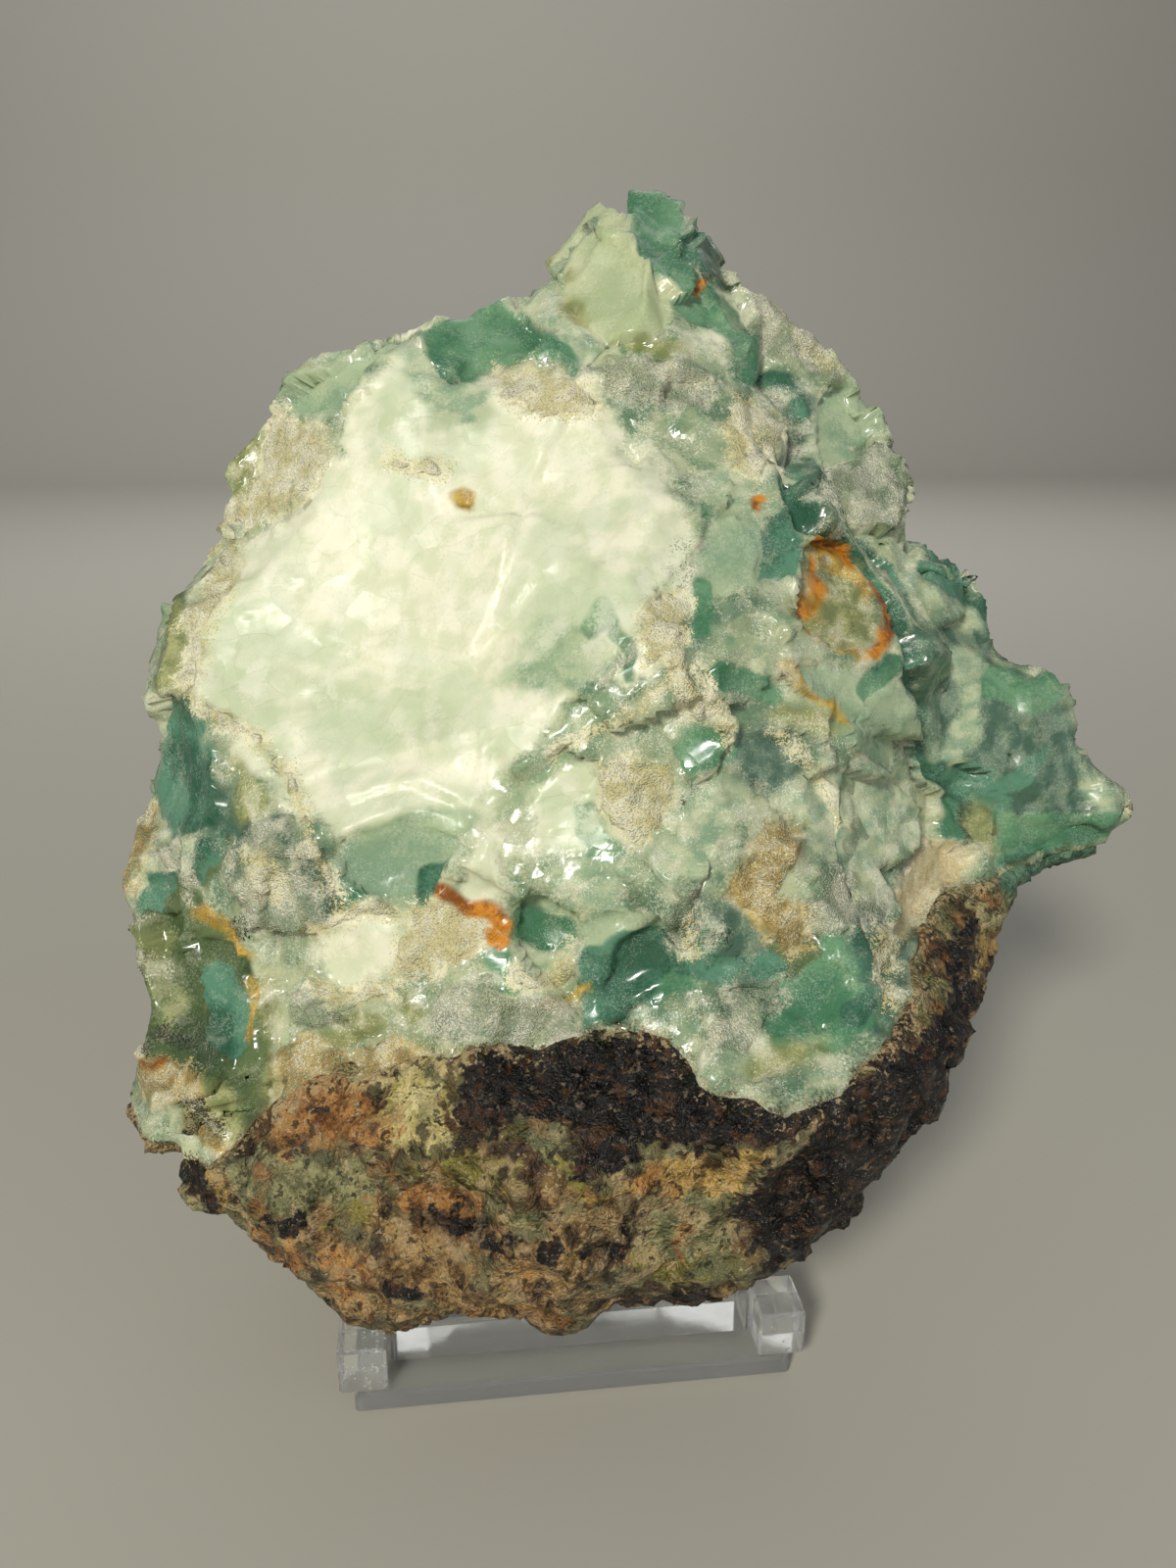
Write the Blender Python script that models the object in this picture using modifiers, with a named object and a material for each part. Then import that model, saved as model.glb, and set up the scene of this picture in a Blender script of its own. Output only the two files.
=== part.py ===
"""A raw allophane specimen on its limonite matrix, standing on a clear acrylic display stand.

The row frame is +Z up, with the origin at the centre of the base plate's underside.
The stone is shaped in a frame of its own: x to its right, y away from whoever looks at its
front, z up its face. It leans back in the stand, and is turned a little to its left.
Lengths named below are in millimetres, and MM turns them into metres.
"""

import math

import bmesh
import bpy
import numpy as np
from mathutils import Matrix, Vector, noise

MM = 0.001

# The stand: sheets of clear acrylic, sawn and glued.
GAP = 0.3
SHEET = 6.0
BASE_WIDTH = 60.0
BASE_DEPTH = 76.0
BASE_THICK = 3.0
STOP_WIDTH = 6.5
STOP_DEPTH = 8.0
STOP_SPAN = 64.0
STOP_TOP = 10.3
RAIL_SETBACK = 5.0
RAIL_DEPTH = 12.0
RAIL_TOP = 10.6
REST_WIDTH = 44.0
REST_LENGTH = 68.0
REST_FOOT_Y = 8.0
REST_LEAN = math.radians(18.0)
BRACE_TOP = 46.0
BRACE_TOE = 8.0
BRACE_INSET = 4.0
EDGE_POLISH = 0.4

# Where the stone stands, and how it leans.
STONE_PLACE = (7.0, -2.5, 77.5)
STONE_LEAN = math.radians(18.2)
STONE_TURN = math.radians(-6.7)

# The stone's outline, seen from the front: x and z from its middle.
OUTLINE = (
    (4, 88), (11, 83), (17, 80.5), (19.5, 72), (27, 71.5), (34, 72), (35.5, 63.5), (42.5, 54.5),
    (43.5, 49.5), (50, 46.5), (45, 35), (56.5, 34), (61, 31), (64.5, 26), (57, 19.5),
    (66.5, 17.5), (71, 17), (77, 12.5), (77.5, 4.5), (89.5, 0), (101.5, -8), (72.5, -13),
    (58.5, -16), (63.5, -22.5), (57.5, -29.5), (48.5, -33.5), (46, -41.5), (44.5, -46),
    (35.5, -51.5), (30, -60), (22, -64.5), (13.5, -68), (3, -68.5), (-5.5, -71), (-11, -69),
    (-17.5, -70.5), (-25, -70.5), (-33.5, -68.5), (-40, -64), (-47, -57.5), (-44.5, -42.5),
    (-58, -45.5), (-60, -40), (-59, -35), (-64, -31.5), (-64, -20.5), (-71.5, -14.5), (-66.5, -7),
    (-62.5, -1), (-61.5, 10.5), (-62, 24), (-56.5, 31), (-51.5, 37), (-55.5, 48), (-47, 51.5),
    (-42, 55.5), (-37, 62), (-26.5, 61.5), (-24, 64.5), (-15, 67.5), (-8, 72), (-2, 80),
)
FRONT_THICK = 45.0
BACK_THICK = 36.0
ROUNDNESS = 2.3
BASE_REACH = 0.16

# Faces of the stone as planes: a point on each, then how far it turns to the right and up.
BODY_FACES = {
    "pale face": ((-3, -37, 4), -16, 14),
    "pale face, left": ((-44, -27, 12), -38, 6),
    "pale face, top": ((-18, -27, 40), -10, 34),
    "lower facets": ((-3, -37, 4), 6, -16),
    "cheek": ((22, -35, 2), 24, 2),
    "cheek, right": ((36, -29, -8), 40, -8),
    "shoulder": ((9, -34, 26), 14, 22),
    "shoulder, right": ((24, -26, 28), 36, 18),
    "brow, left": ((-36, -20, 44), -32, 32),
    "brow, right": ((14, -22, 48), 18, 40),
    "chin, right": ((24, -31, -24), 22, -26),
    "chin, left": ((-30, -31, -24), -17, -20),
    "left flank": ((-56, -12, 2), -62, -2),
    "left flank, lower": ((-51, -17, -28), -47, -8),
    "left flank, upper": ((-53, -11, 30), -55, 22),
    "foot": ((-4, -31, -44), 0, -33),
    "foot, left": ((-30, -27, -46), -14, -34),
    "foot, right": ((30, -24, -44), 27, -30),
    "heel": ((0, -23, -62), 0, -52),
}
UPPER_EDGE = {"edge of the cleft, top": ((26, -14, 58), 76, 10)}
CHEEK_EDGE = {
    "edge of the cleft": ((38, -14, 30), 74, 44),
    "edge of the cleft, low": ((47, -14, 6), 82, 2),
}
LAYER_FACES = {
    "back layer": ((58, -3, -2), 10, 2),
    "back layer, upper": ((34, -4, 48), 16, 14),
    "back layer, tip": ((74, -1, -5), 24, -14),
    "back layer, foot": ((50, -6, -30), 22, -16),
}
KNOB_FACES = {
    "knob, pale face": ((2, -14, 66), -20, 12),
    "knob, green face": ((12, -13, 66), 32, 14),
    "knob, right": ((20, -6, 62), 66, 20),
    "knob, left": ((-10, -6, 66), -62, 26),
}
BACK_FACES = {
    "back, upper": ((0, 24, 50), 176, 28),
    "back, left": ((-46, 20, 4), 222, 6),
    "back, right": ((56, 22, 4), 145, 4),
    "back, low right": ((30, 22, -46), 152, -24),
    "back, low left": ((-34, 22, -44), 208, -22),
    "back, layer": ((62, 14, 2), 150, 10),
}

# Hollows left by shell-shaped fractures, front then back: x and z on the stone, how far the
# hollow turns to the right and up, the shell's radius, and how deep it bites.
FRONT_SHELLS = {
    "pale face": (-26, 21, -15, 12, 78, 3.6),
    "pale face, high": (-12, 34, -4, 26, 40, 2.2),
    "pale face, low": (-14, 2, -10, 2, 34, 1.6),
    "crust, upper left": (-42, 34, -40, 24, 36, 2.4),
    "green eye": (-23, -9, -10, -30, 14, 3.2),
    "banded facet": (-7, -17, -4, -24, 20, 1.8),
    "teal patch": (4, -25, 6, -14, 20, 2.2),
    "facets below the ridge": (0, -4, -6, -14, 30, 1.6),
    "cheek": (24, -2, 24, 4, 40, 2.6),
    "ochre patch": (20, -16, 20, -26, 18, 2.2),
    "cream patch": (-32, -24, -20, -16, 26, 2.4),
    "rust corner": (33, 22, 40, 26, 12, 3.4),
    "shoulder": (14, 24, 16, 20, 26, 2.4),
    "shoulder, high": (10, 44, 6, 34, 24, 2.2),
    "left flank": (-57, -2, -66, 2, 24, 4.5),
    "left flank, lower": (-51, -27, -50, -4, 26, 4.0),
    "crown hollow": (-10, 56, -10, 60, 16, 3.0),
    "knob": (13, 66, 36, 14, 22, 2.4),
    "notch in the back layer": (58, 21, 12, 20, 15, 3.5),
    "back layer, high": (33, 48, 20, 16, 16, 2.4),
    "back layer": (60, -4, 14, -4, 36, 2.4),
    "foot": (12, -48, 6, -38, 22, 3.0),
    "foot, left": (-24, -46, -14, -30, 24, 2.6),
}
BACK_SHELLS = {
    "back": (-20, 20, 190, 12, 55, 4.0),
    "back, right": (34, 24, 146, 20, 38, 4.0),
    "back, left": (-46, -14, 220, -8, 34, 3.5),
    "back, low": (10, -26, 172, -14, 30, 2.5),
}

# Lumps that stand out of the stone: a middle and a radius.
LUMPS = {
    "left nodule": ((-55, -7, -41), 8.5),
    "left nodule, small": ((-47, -12, -49), 6.5),
    "crown lobe": ((-20, -8, 56), 9.0),
}

# Breakage at random: flat facets all round each chunk, then shallow shells on the whole.
FACETS = 46
FACET_DEPTH = (0.6, 3.4)
CHIPS = 260
CHIP_RADIUS = (5.0, 22.0)
CHIP_DEPTH = (0.4, 1.4)
CHIP_TILT = 0.28
CHIP_PATCH = 5.0
CHIP_LEAST_FACING = 0.4
CHIP_MOST = 2.6
BREAK_SEED = 11
ALLOPHANE_BUMPS = 0.5
ALLOPHANE_GRAIN = 0.35
MATRIX_BUMPS = 2.0
MATRIX_GRAIN = 2.1
BUMP_SCALE = 0.11
GRAIN_SCALE = 0.27

# The contact of allophane and matrix at the front: x and z. It rises towards the back.
CONTACT = (
    (-90, -46), (-60, -46), (-50, -50), (-41, -44), (-33, -35), (-20, -33), (-6, -31), (8, -30),
    (18, -35), (26, -38), (33, -31), (41, -25), (49, -20), (57, -18), (90, -14),
)
CONTACT_FRONT_Y = -24.0
CONTACT_RISE = 0.22
CONTACT_WAVE = 1.6
CONTACT_CELLS = 26
CONTACT_HALF = 90.0
CONTACT_FLOOR = -130.0
MATRIX_BLEND = 6.0

SPHERE_LEVELS = 7
STONE_TRIANGLES = 7300
SPHERE_TRIANGLES = 20 * 4 ** (SPHERE_LEVELS - 1)
SHARP_EDGE = math.radians(24.0)
NEVER = 1e-6


def material(name, colour, roughness, metallic=0.0, alpha=1.0):
    made = bpy.data.materials.new(name)
    made.use_nodes = True
    shader = made.node_tree.nodes["Principled BSDF"]
    shader.inputs["Base Color"].default_value = (*colour, 1.0)
    shader.inputs["Roughness"].default_value = roughness
    shader.inputs["Metallic"].default_value = metallic
    shader.inputs["Alpha"].default_value = alpha
    return made


def collection(name):
    made = bpy.data.collections.new(name)
    bpy.context.scene.collection.children.link(made)
    return made


def facing(turn_right, turn_up):
    """The way a face looks that turns from the viewer to the right and up, in degrees."""
    right, up = math.radians(turn_right), math.radians(turn_up)
    return np.array(
        [math.sin(right) * math.cos(up), -math.cos(right) * math.cos(up), math.sin(up)]
    )


def rim_reach(directions):
    """How far the outline lies from the middle, for each direction turned into the rim's plane."""
    rim = np.array(OUTLINE, float)
    angle = np.arctan2(rim[:, 1], rim[:, 0])
    reach = np.hypot(rim[:, 0], rim[:, 1])
    order = np.argsort(angle)
    wanted = np.arctan2(directions[:, 2], directions[:, 0])
    return np.interp(wanted, angle[order], reach[order], period=2 * math.pi)


def swell(directions):
    """The stone before it is broken: its outline, filled out to the front and to the back."""
    across = np.hypot(directions[:, 0], directions[:, 2]) / rim_reach(directions)
    thick = np.where(directions[:, 1] < 0, FRONT_THICK, BACK_THICK)
    along = np.abs(directions[:, 1]) / thick
    return (across**ROUNDNESS + along**ROUNDNESS) ** (-1 / ROUNDNESS)


def up_to_planes(reach, directions, faces):
    for point, right, up in faces.values():
        normal = facing(right, up)
        slope = directions @ normal
        limit = np.dot(point, normal) / np.maximum(slope, NEVER)
        reach = np.where(slope > NEVER, np.minimum(reach, limit), reach)
    return reach


def up_to_sphere(reach, directions, middle, radius):
    along = directions @ middle
    inside = along**2 - middle @ middle + radius**2
    entry = along - np.sqrt(np.maximum(inside, 0))
    hit = (inside > 0) & (along > 0) & (entry > 0)
    return np.where(hit, np.minimum(reach, entry), reach)


def up_to_shells(reach, directions, shells, front):
    """Bites shell-shaped hollows out, each measured from the surface as it then is."""
    for x, z, right, up, radius, depth in shells.values():
        points = directions * reach[:, None]
        off = np.hypot(points[:, 0] - x, points[:, 2] - z)
        off[(points[:, 1] > 0) == front] = math.inf
        place = points[np.argmin(off)]
        middle = place + facing(right, up) * (radius - depth)
        reach = up_to_sphere(reach, directions, middle, radius)
    return reach


def out_to_lumps(reach, directions):
    for middle, radius in LUMPS.values():
        middle = np.array(middle, float)
        along = directions @ middle
        inside = along**2 - middle @ middle + radius**2
        leaving = along + np.sqrt(np.maximum(inside, 0))
        hit = (inside > 0) & (along > 0)
        reach = np.where(hit, np.maximum(reach, leaving), reach)
    return reach


def faceted(reach, directions, rng):
    """Knocks flat facets off a chunk, each square to a way picked at random."""
    for _ in range(FACETS):
        normal = rng.normal(size=3)
        normal /= np.linalg.norm(normal)
        slope = directions @ normal
        height = (slope * reach).max() - rng.uniform(*FACET_DEPTH)
        limit = height / np.maximum(slope, NEVER)
        reach = np.where(slope > NEVER, np.minimum(reach, limit), reach)
    return reach


def chipped(reach, directions, rng):
    """Strikes small shell-shaped chips off, so that the stone looks broken all over."""
    for _ in range(CHIPS):
        # every bit of the surface is as likely to be struck, near the middle or far from it
        struck = rng.choice(len(reach), p=reach**2 / (reach**2).sum())
        points = directions * reach[:, None]
        place = points[struck]
        patch = points[np.linalg.norm(points - place, axis=1) < CHIP_PATCH]
        spread = patch - patch.mean(axis=0)
        normal = np.linalg.svd(spread, full_matrices=False)[2][2]
        normal *= np.sign(normal @ directions[struck])
        normal += rng.normal(size=3) * CHIP_TILT
        normal /= np.linalg.norm(normal)
        if normal @ directions[struck] < CHIP_LEAST_FACING:
            continue
        radius = rng.uniform(*CHIP_RADIUS)
        middle = place + normal * (radius - rng.uniform(*CHIP_DEPTH))
        struck_off = up_to_sphere(reach, directions, middle, radius)
        reach = np.maximum(struck_off, reach - CHIP_MOST)
    return reach


def roughened(reach, directions):
    """Makes the matrix lumpy, and the rest a little uneven."""
    points = directions * reach[:, None]
    bumps = np.array([noise.noise(Vector(p) * BUMP_SCALE) for p in points])
    grain = np.array([noise.noise(Vector(p) * GRAIN_SCALE) for p in points])
    below = contact_height(points[:, 0], points[:, 1]) - points[:, 2]
    low = np.clip(below / MATRIX_BLEND + 0.5, 0, 1)
    bump_height = ALLOPHANE_BUMPS + (MATRIX_BUMPS - ALLOPHANE_BUMPS) * low
    grain_height = ALLOPHANE_GRAIN + (MATRIX_GRAIN - ALLOPHANE_GRAIN) * low
    return reach + bumps * bump_height + grain * grain_height


def contact_height(x, y):
    line = np.array(CONTACT, float)
    height = np.interp(x, line[:, 0], line[:, 1])
    wave = np.sin(x * 0.31 + y * 0.17) + np.sin(y * 0.36 - x * 0.12)
    return height + (y - CONTACT_FRONT_Y) * CONTACT_RISE + CONTACT_WAVE * wave


def stone_matrix():
    lean = Matrix.Rotation(-STONE_LEAN, 4, "X")
    turn = Matrix.Rotation(STONE_TURN, 4, "Z")
    return Matrix.Translation(Vector(STONE_PLACE) * MM) @ turn @ lean


def rest_line(height):
    """Where the back rest's front face is, at a height above the shelf."""
    return REST_FOOT_Y + (height - BASE_THICK) * math.tan(REST_LEAN)


def seated(points):
    """Keeps the stone above the rail, and in front of the back rest."""
    turn = np.array(stone_matrix().to_3x3())
    place = np.array(STONE_PLACE)
    world = points @ turn.T + place
    world[:, 2] = np.maximum(world[:, 2], RAIL_TOP + GAP)
    world[:, 1] = np.minimum(world[:, 1], rest_line(world[:, 2]) - GAP)
    return (world - place) @ turn


def stone_mesh():
    """The whole broken stone, in millimetres about its middle."""
    sculpt = bmesh.new()
    bmesh.ops.create_icosphere(sculpt, subdivisions=SPHERE_LEVELS, radius=1.0)
    directions = np.array([v.co for v in sculpt.verts])
    directions /= np.linalg.norm(directions, axis=1)[:, None]
    rng = np.random.default_rng(BREAK_SEED)
    whole = up_to_planes(swell(directions), directions, BACK_FACES)
    reach = np.zeros(len(directions))
    for faces in (BODY_FACES | UPPER_EDGE, BODY_FACES | CHEEK_EDGE, LAYER_FACES, KNOB_FACES):
        chunk = faceted(up_to_planes(whole, directions, faces), directions, rng)
        reach = np.maximum(reach, chunk)
    reach = out_to_lumps(reach, directions)
    reach = chipped(reach, directions, rng)
    reach = up_to_shells(reach, directions, FRONT_SHELLS, True)
    reach = up_to_shells(reach, directions, BACK_SHELLS, False)
    reach = roughened(reach, directions)
    points = directions * reach[:, None]
    points[:, 1] += BASE_REACH * np.minimum(points[:, 2], 0)
    points = seated(points)
    for vertex, point in zip(sculpt.verts, points):
        vertex.co = point * MM
    mesh = bpy.data.meshes.new("stone")
    sculpt.to_mesh(mesh)
    sculpt.free()
    return mesh


def contact_cutter(name, drop, cutters):
    """Everything below the contact, as one block with an uneven top."""
    sheet = bmesh.new()
    bmesh.ops.create_grid(
        sheet, x_segments=CONTACT_CELLS, y_segments=CONTACT_CELLS, size=CONTACT_HALF * MM
    )
    for vertex in sheet.verts:
        x, y = vertex.co.x / MM, vertex.co.y / MM
        height = contact_height(np.array([x]), np.array([y]))[0]
        vertex.co.z = (height - drop) * MM
    bmesh.ops.triangulate(sheet, faces=sheet.faces[:], quad_method="FIXED")
    grown = bmesh.ops.extrude_face_region(sheet, geom=sheet.faces[:])
    for item in grown["geom"]:
        if isinstance(item, bmesh.types.BMVert):
            item.co.z = CONTACT_FLOOR * MM
    bmesh.ops.recalc_face_normals(sheet, faces=sheet.faces[:])
    mesh = bpy.data.meshes.new(name)
    sheet.to_mesh(mesh)
    sheet.free()
    cutter = bpy.data.objects.new(name, mesh)
    cutter.matrix_world = stone_matrix()
    cutter.hide_render = True
    cutter.display_type = "WIRE"
    cutters.objects.link(cutter)
    return cutter


def stone_part(name, mesh, cutter, operation, finish, parts):
    part = bpy.data.objects.new(name, mesh.copy())
    part.matrix_world = stone_matrix()
    part.data.materials.append(finish)
    part.data.shade_smooth()
    part.data.set_sharp_from_angle(angle=SHARP_EDGE)
    thin = part.modifiers.new("Fewer faces", "DECIMATE")
    thin.ratio = STONE_TRIANGLES / SPHERE_TRIANGLES
    cut = part.modifiers.new("Contact", "BOOLEAN")
    cut.operation = operation
    cut.solver = "EXACT"
    cut.object = cutter
    parts.objects.link(part)
    return part


def block(name, size, place, finish, parts, lean=0.0):
    """A sawn piece of sheet, its middle at a place, leaning back about X."""
    bpy.ops.mesh.primitive_cube_add(size=1.0)
    piece = bpy.context.active_object
    piece.name = name
    piece.data.transform(Matrix.Diagonal((*(s * MM for s in size), 1.0)))
    piece.location = Vector(place) * MM
    piece.rotation_euler = (-lean, 0.0, 0.0)
    piece.data.materials.append(finish)
    polish = piece.modifiers.new("Polished edges", "BEVEL")
    polish.width = EDGE_POLISH * MM
    polish.segments = 1
    for old in piece.users_collection:
        old.objects.unlink(piece)
    parts.objects.link(piece)
    return piece


def brace(finish, parts):
    """The upright gusset that holds the back rest from behind."""
    back_y = BASE_DEPTH / 2 - BRACE_INSET
    slant = SHEET / math.cos(REST_LEAN) + GAP
    low = BASE_THICK + GAP
    corners = (
        (rest_line(low) + slant, low),
        (back_y, low),
        (back_y, low + BRACE_TOE),
        (rest_line(BRACE_TOP) + slant, BRACE_TOP),
    )
    curve = bpy.data.curves.new("stand_brace", "CURVE")
    curve.dimensions = "2D"
    curve.fill_mode = "BOTH"
    curve.extrude = SHEET * MM / 2
    line = curve.splines.new("POLY")
    line.points.add(len(corners) - 1)
    for point, (y, z) in zip(line.points, corners):
        point.co = (y * MM, z * MM, 0.0, 1.0)
    line.use_cyclic_u = True
    piece = bpy.data.objects.new("stand_brace", curve)
    # the flat outline's axes stand up as the row frame's Y and Z
    piece.matrix_world = Matrix(((0, 0, 1, 0), (1, 0, 0, 0), (0, 1, 0, 0), (0, 0, 0, 1)))
    curve.materials.append(finish)
    parts.objects.link(piece)
    return piece


def stand(finish, parts):
    front = -BASE_DEPTH / 2
    block("stand_base", (BASE_WIDTH, BASE_DEPTH, BASE_THICK), (0, 0, BASE_THICK / 2), finish, parts)
    stop_height = STOP_TOP - BASE_THICK - GAP
    for name, side in (("stand_left_stop", -1), ("stand_right_stop", 1)):
        place = (
            side * (STOP_SPAN - STOP_WIDTH) / 2,
            front + STOP_DEPTH / 2,
            STOP_TOP - stop_height / 2,
        )
        block(name, (STOP_WIDTH, STOP_DEPTH, stop_height), place, finish, parts)
    rail_width = STOP_SPAN - 2 * STOP_WIDTH - 2 * GAP
    rail_height = RAIL_TOP - BASE_THICK - GAP
    rail_place = (0, front + RAIL_SETBACK + RAIL_DEPTH / 2, RAIL_TOP - rail_height / 2)
    block("stand_rail", (rail_width, RAIL_DEPTH, rail_height), rail_place, finish, parts)
    foot = BASE_THICK + GAP + SHEET * math.sin(REST_LEAN)
    middle = REST_LENGTH / 2
    along_y, along_z = math.sin(REST_LEAN), math.cos(REST_LEAN)
    rest_place = (
        0,
        rest_line(foot) + middle * along_y + SHEET / 2 * along_z,
        foot + middle * along_z - SHEET / 2 * along_y,
    )
    size = (REST_WIDTH, SHEET, REST_LENGTH)
    block("stand_back_rest", size, rest_place, finish, parts, lean=REST_LEAN)
    brace(finish, parts)


def main():
    for old in list(bpy.data.objects):
        bpy.data.objects.remove(old)
    parts = collection("raw allophane")
    cutters = collection("cutters")
    cutters.hide_render = True
    allophane = material("allophane", (0.50, 0.66, 0.50), 0.28)
    limonite = material("limonite", (0.13, 0.085, 0.05), 0.75)
    acrylic = material("acrylic", (0.88, 0.92, 0.90), 0.06, alpha=0.3)
    mesh = stone_mesh()
    above = contact_cutter("contact_upper", 0.0, cutters)
    below = contact_cutter("contact_lower", GAP, cutters)
    stone_part("allophane", mesh, above, "DIFFERENCE", allophane, parts)
    stone_part("limonite_matrix", mesh, below, "INTERSECT", limonite, parts)
    stand(acrylic, parts)


main()
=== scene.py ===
"""The looks of a raw allophane specimen on its limonite matrix, in a clear acrylic stand.

The stone's two solids are copied, remeshed finely and broken up by shell-shaped fractures, ridges,
crusts and grains. Where each finish lies on the front is given by named patches, in pixels of the
1200 by 1600 photograph; the sides and back carry on with the same finishes at random.
Each finish reaches its material as a distance from its edge, in millimetres, kept on the mesh.
"""

import math

import bmesh
import bpy
import numpy as np
from mathutils import Matrix, Vector, kdtree, noise


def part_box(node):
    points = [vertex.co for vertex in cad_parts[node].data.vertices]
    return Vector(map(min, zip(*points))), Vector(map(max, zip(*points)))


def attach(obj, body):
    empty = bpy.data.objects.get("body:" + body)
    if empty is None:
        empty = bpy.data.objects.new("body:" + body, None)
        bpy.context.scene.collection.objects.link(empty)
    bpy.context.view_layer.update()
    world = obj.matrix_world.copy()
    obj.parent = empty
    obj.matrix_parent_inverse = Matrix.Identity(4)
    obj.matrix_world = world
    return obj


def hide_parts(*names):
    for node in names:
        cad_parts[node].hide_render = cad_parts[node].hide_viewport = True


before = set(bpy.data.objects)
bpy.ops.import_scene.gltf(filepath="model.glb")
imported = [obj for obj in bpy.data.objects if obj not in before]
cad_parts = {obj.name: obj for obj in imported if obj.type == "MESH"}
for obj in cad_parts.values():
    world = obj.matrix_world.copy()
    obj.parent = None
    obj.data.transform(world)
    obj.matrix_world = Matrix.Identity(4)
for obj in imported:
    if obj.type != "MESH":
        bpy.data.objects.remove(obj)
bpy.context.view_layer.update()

MM = 0.001
PHOTO = (1200, 1600)
FOCAL_PX = 1244.0
EYE = np.array((-14.0, -170.7, 132.3))
AHEAD = np.array((0.1109, 0.9435, -0.3123))
PX_TO_MM = 0.13
# Farther than any drawn patch or outline matters, in pixels or in millimetres.
FAR = 60.0

# The size of the rocks' voxels, in millimetres.
VOXEL = 0.78

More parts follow.
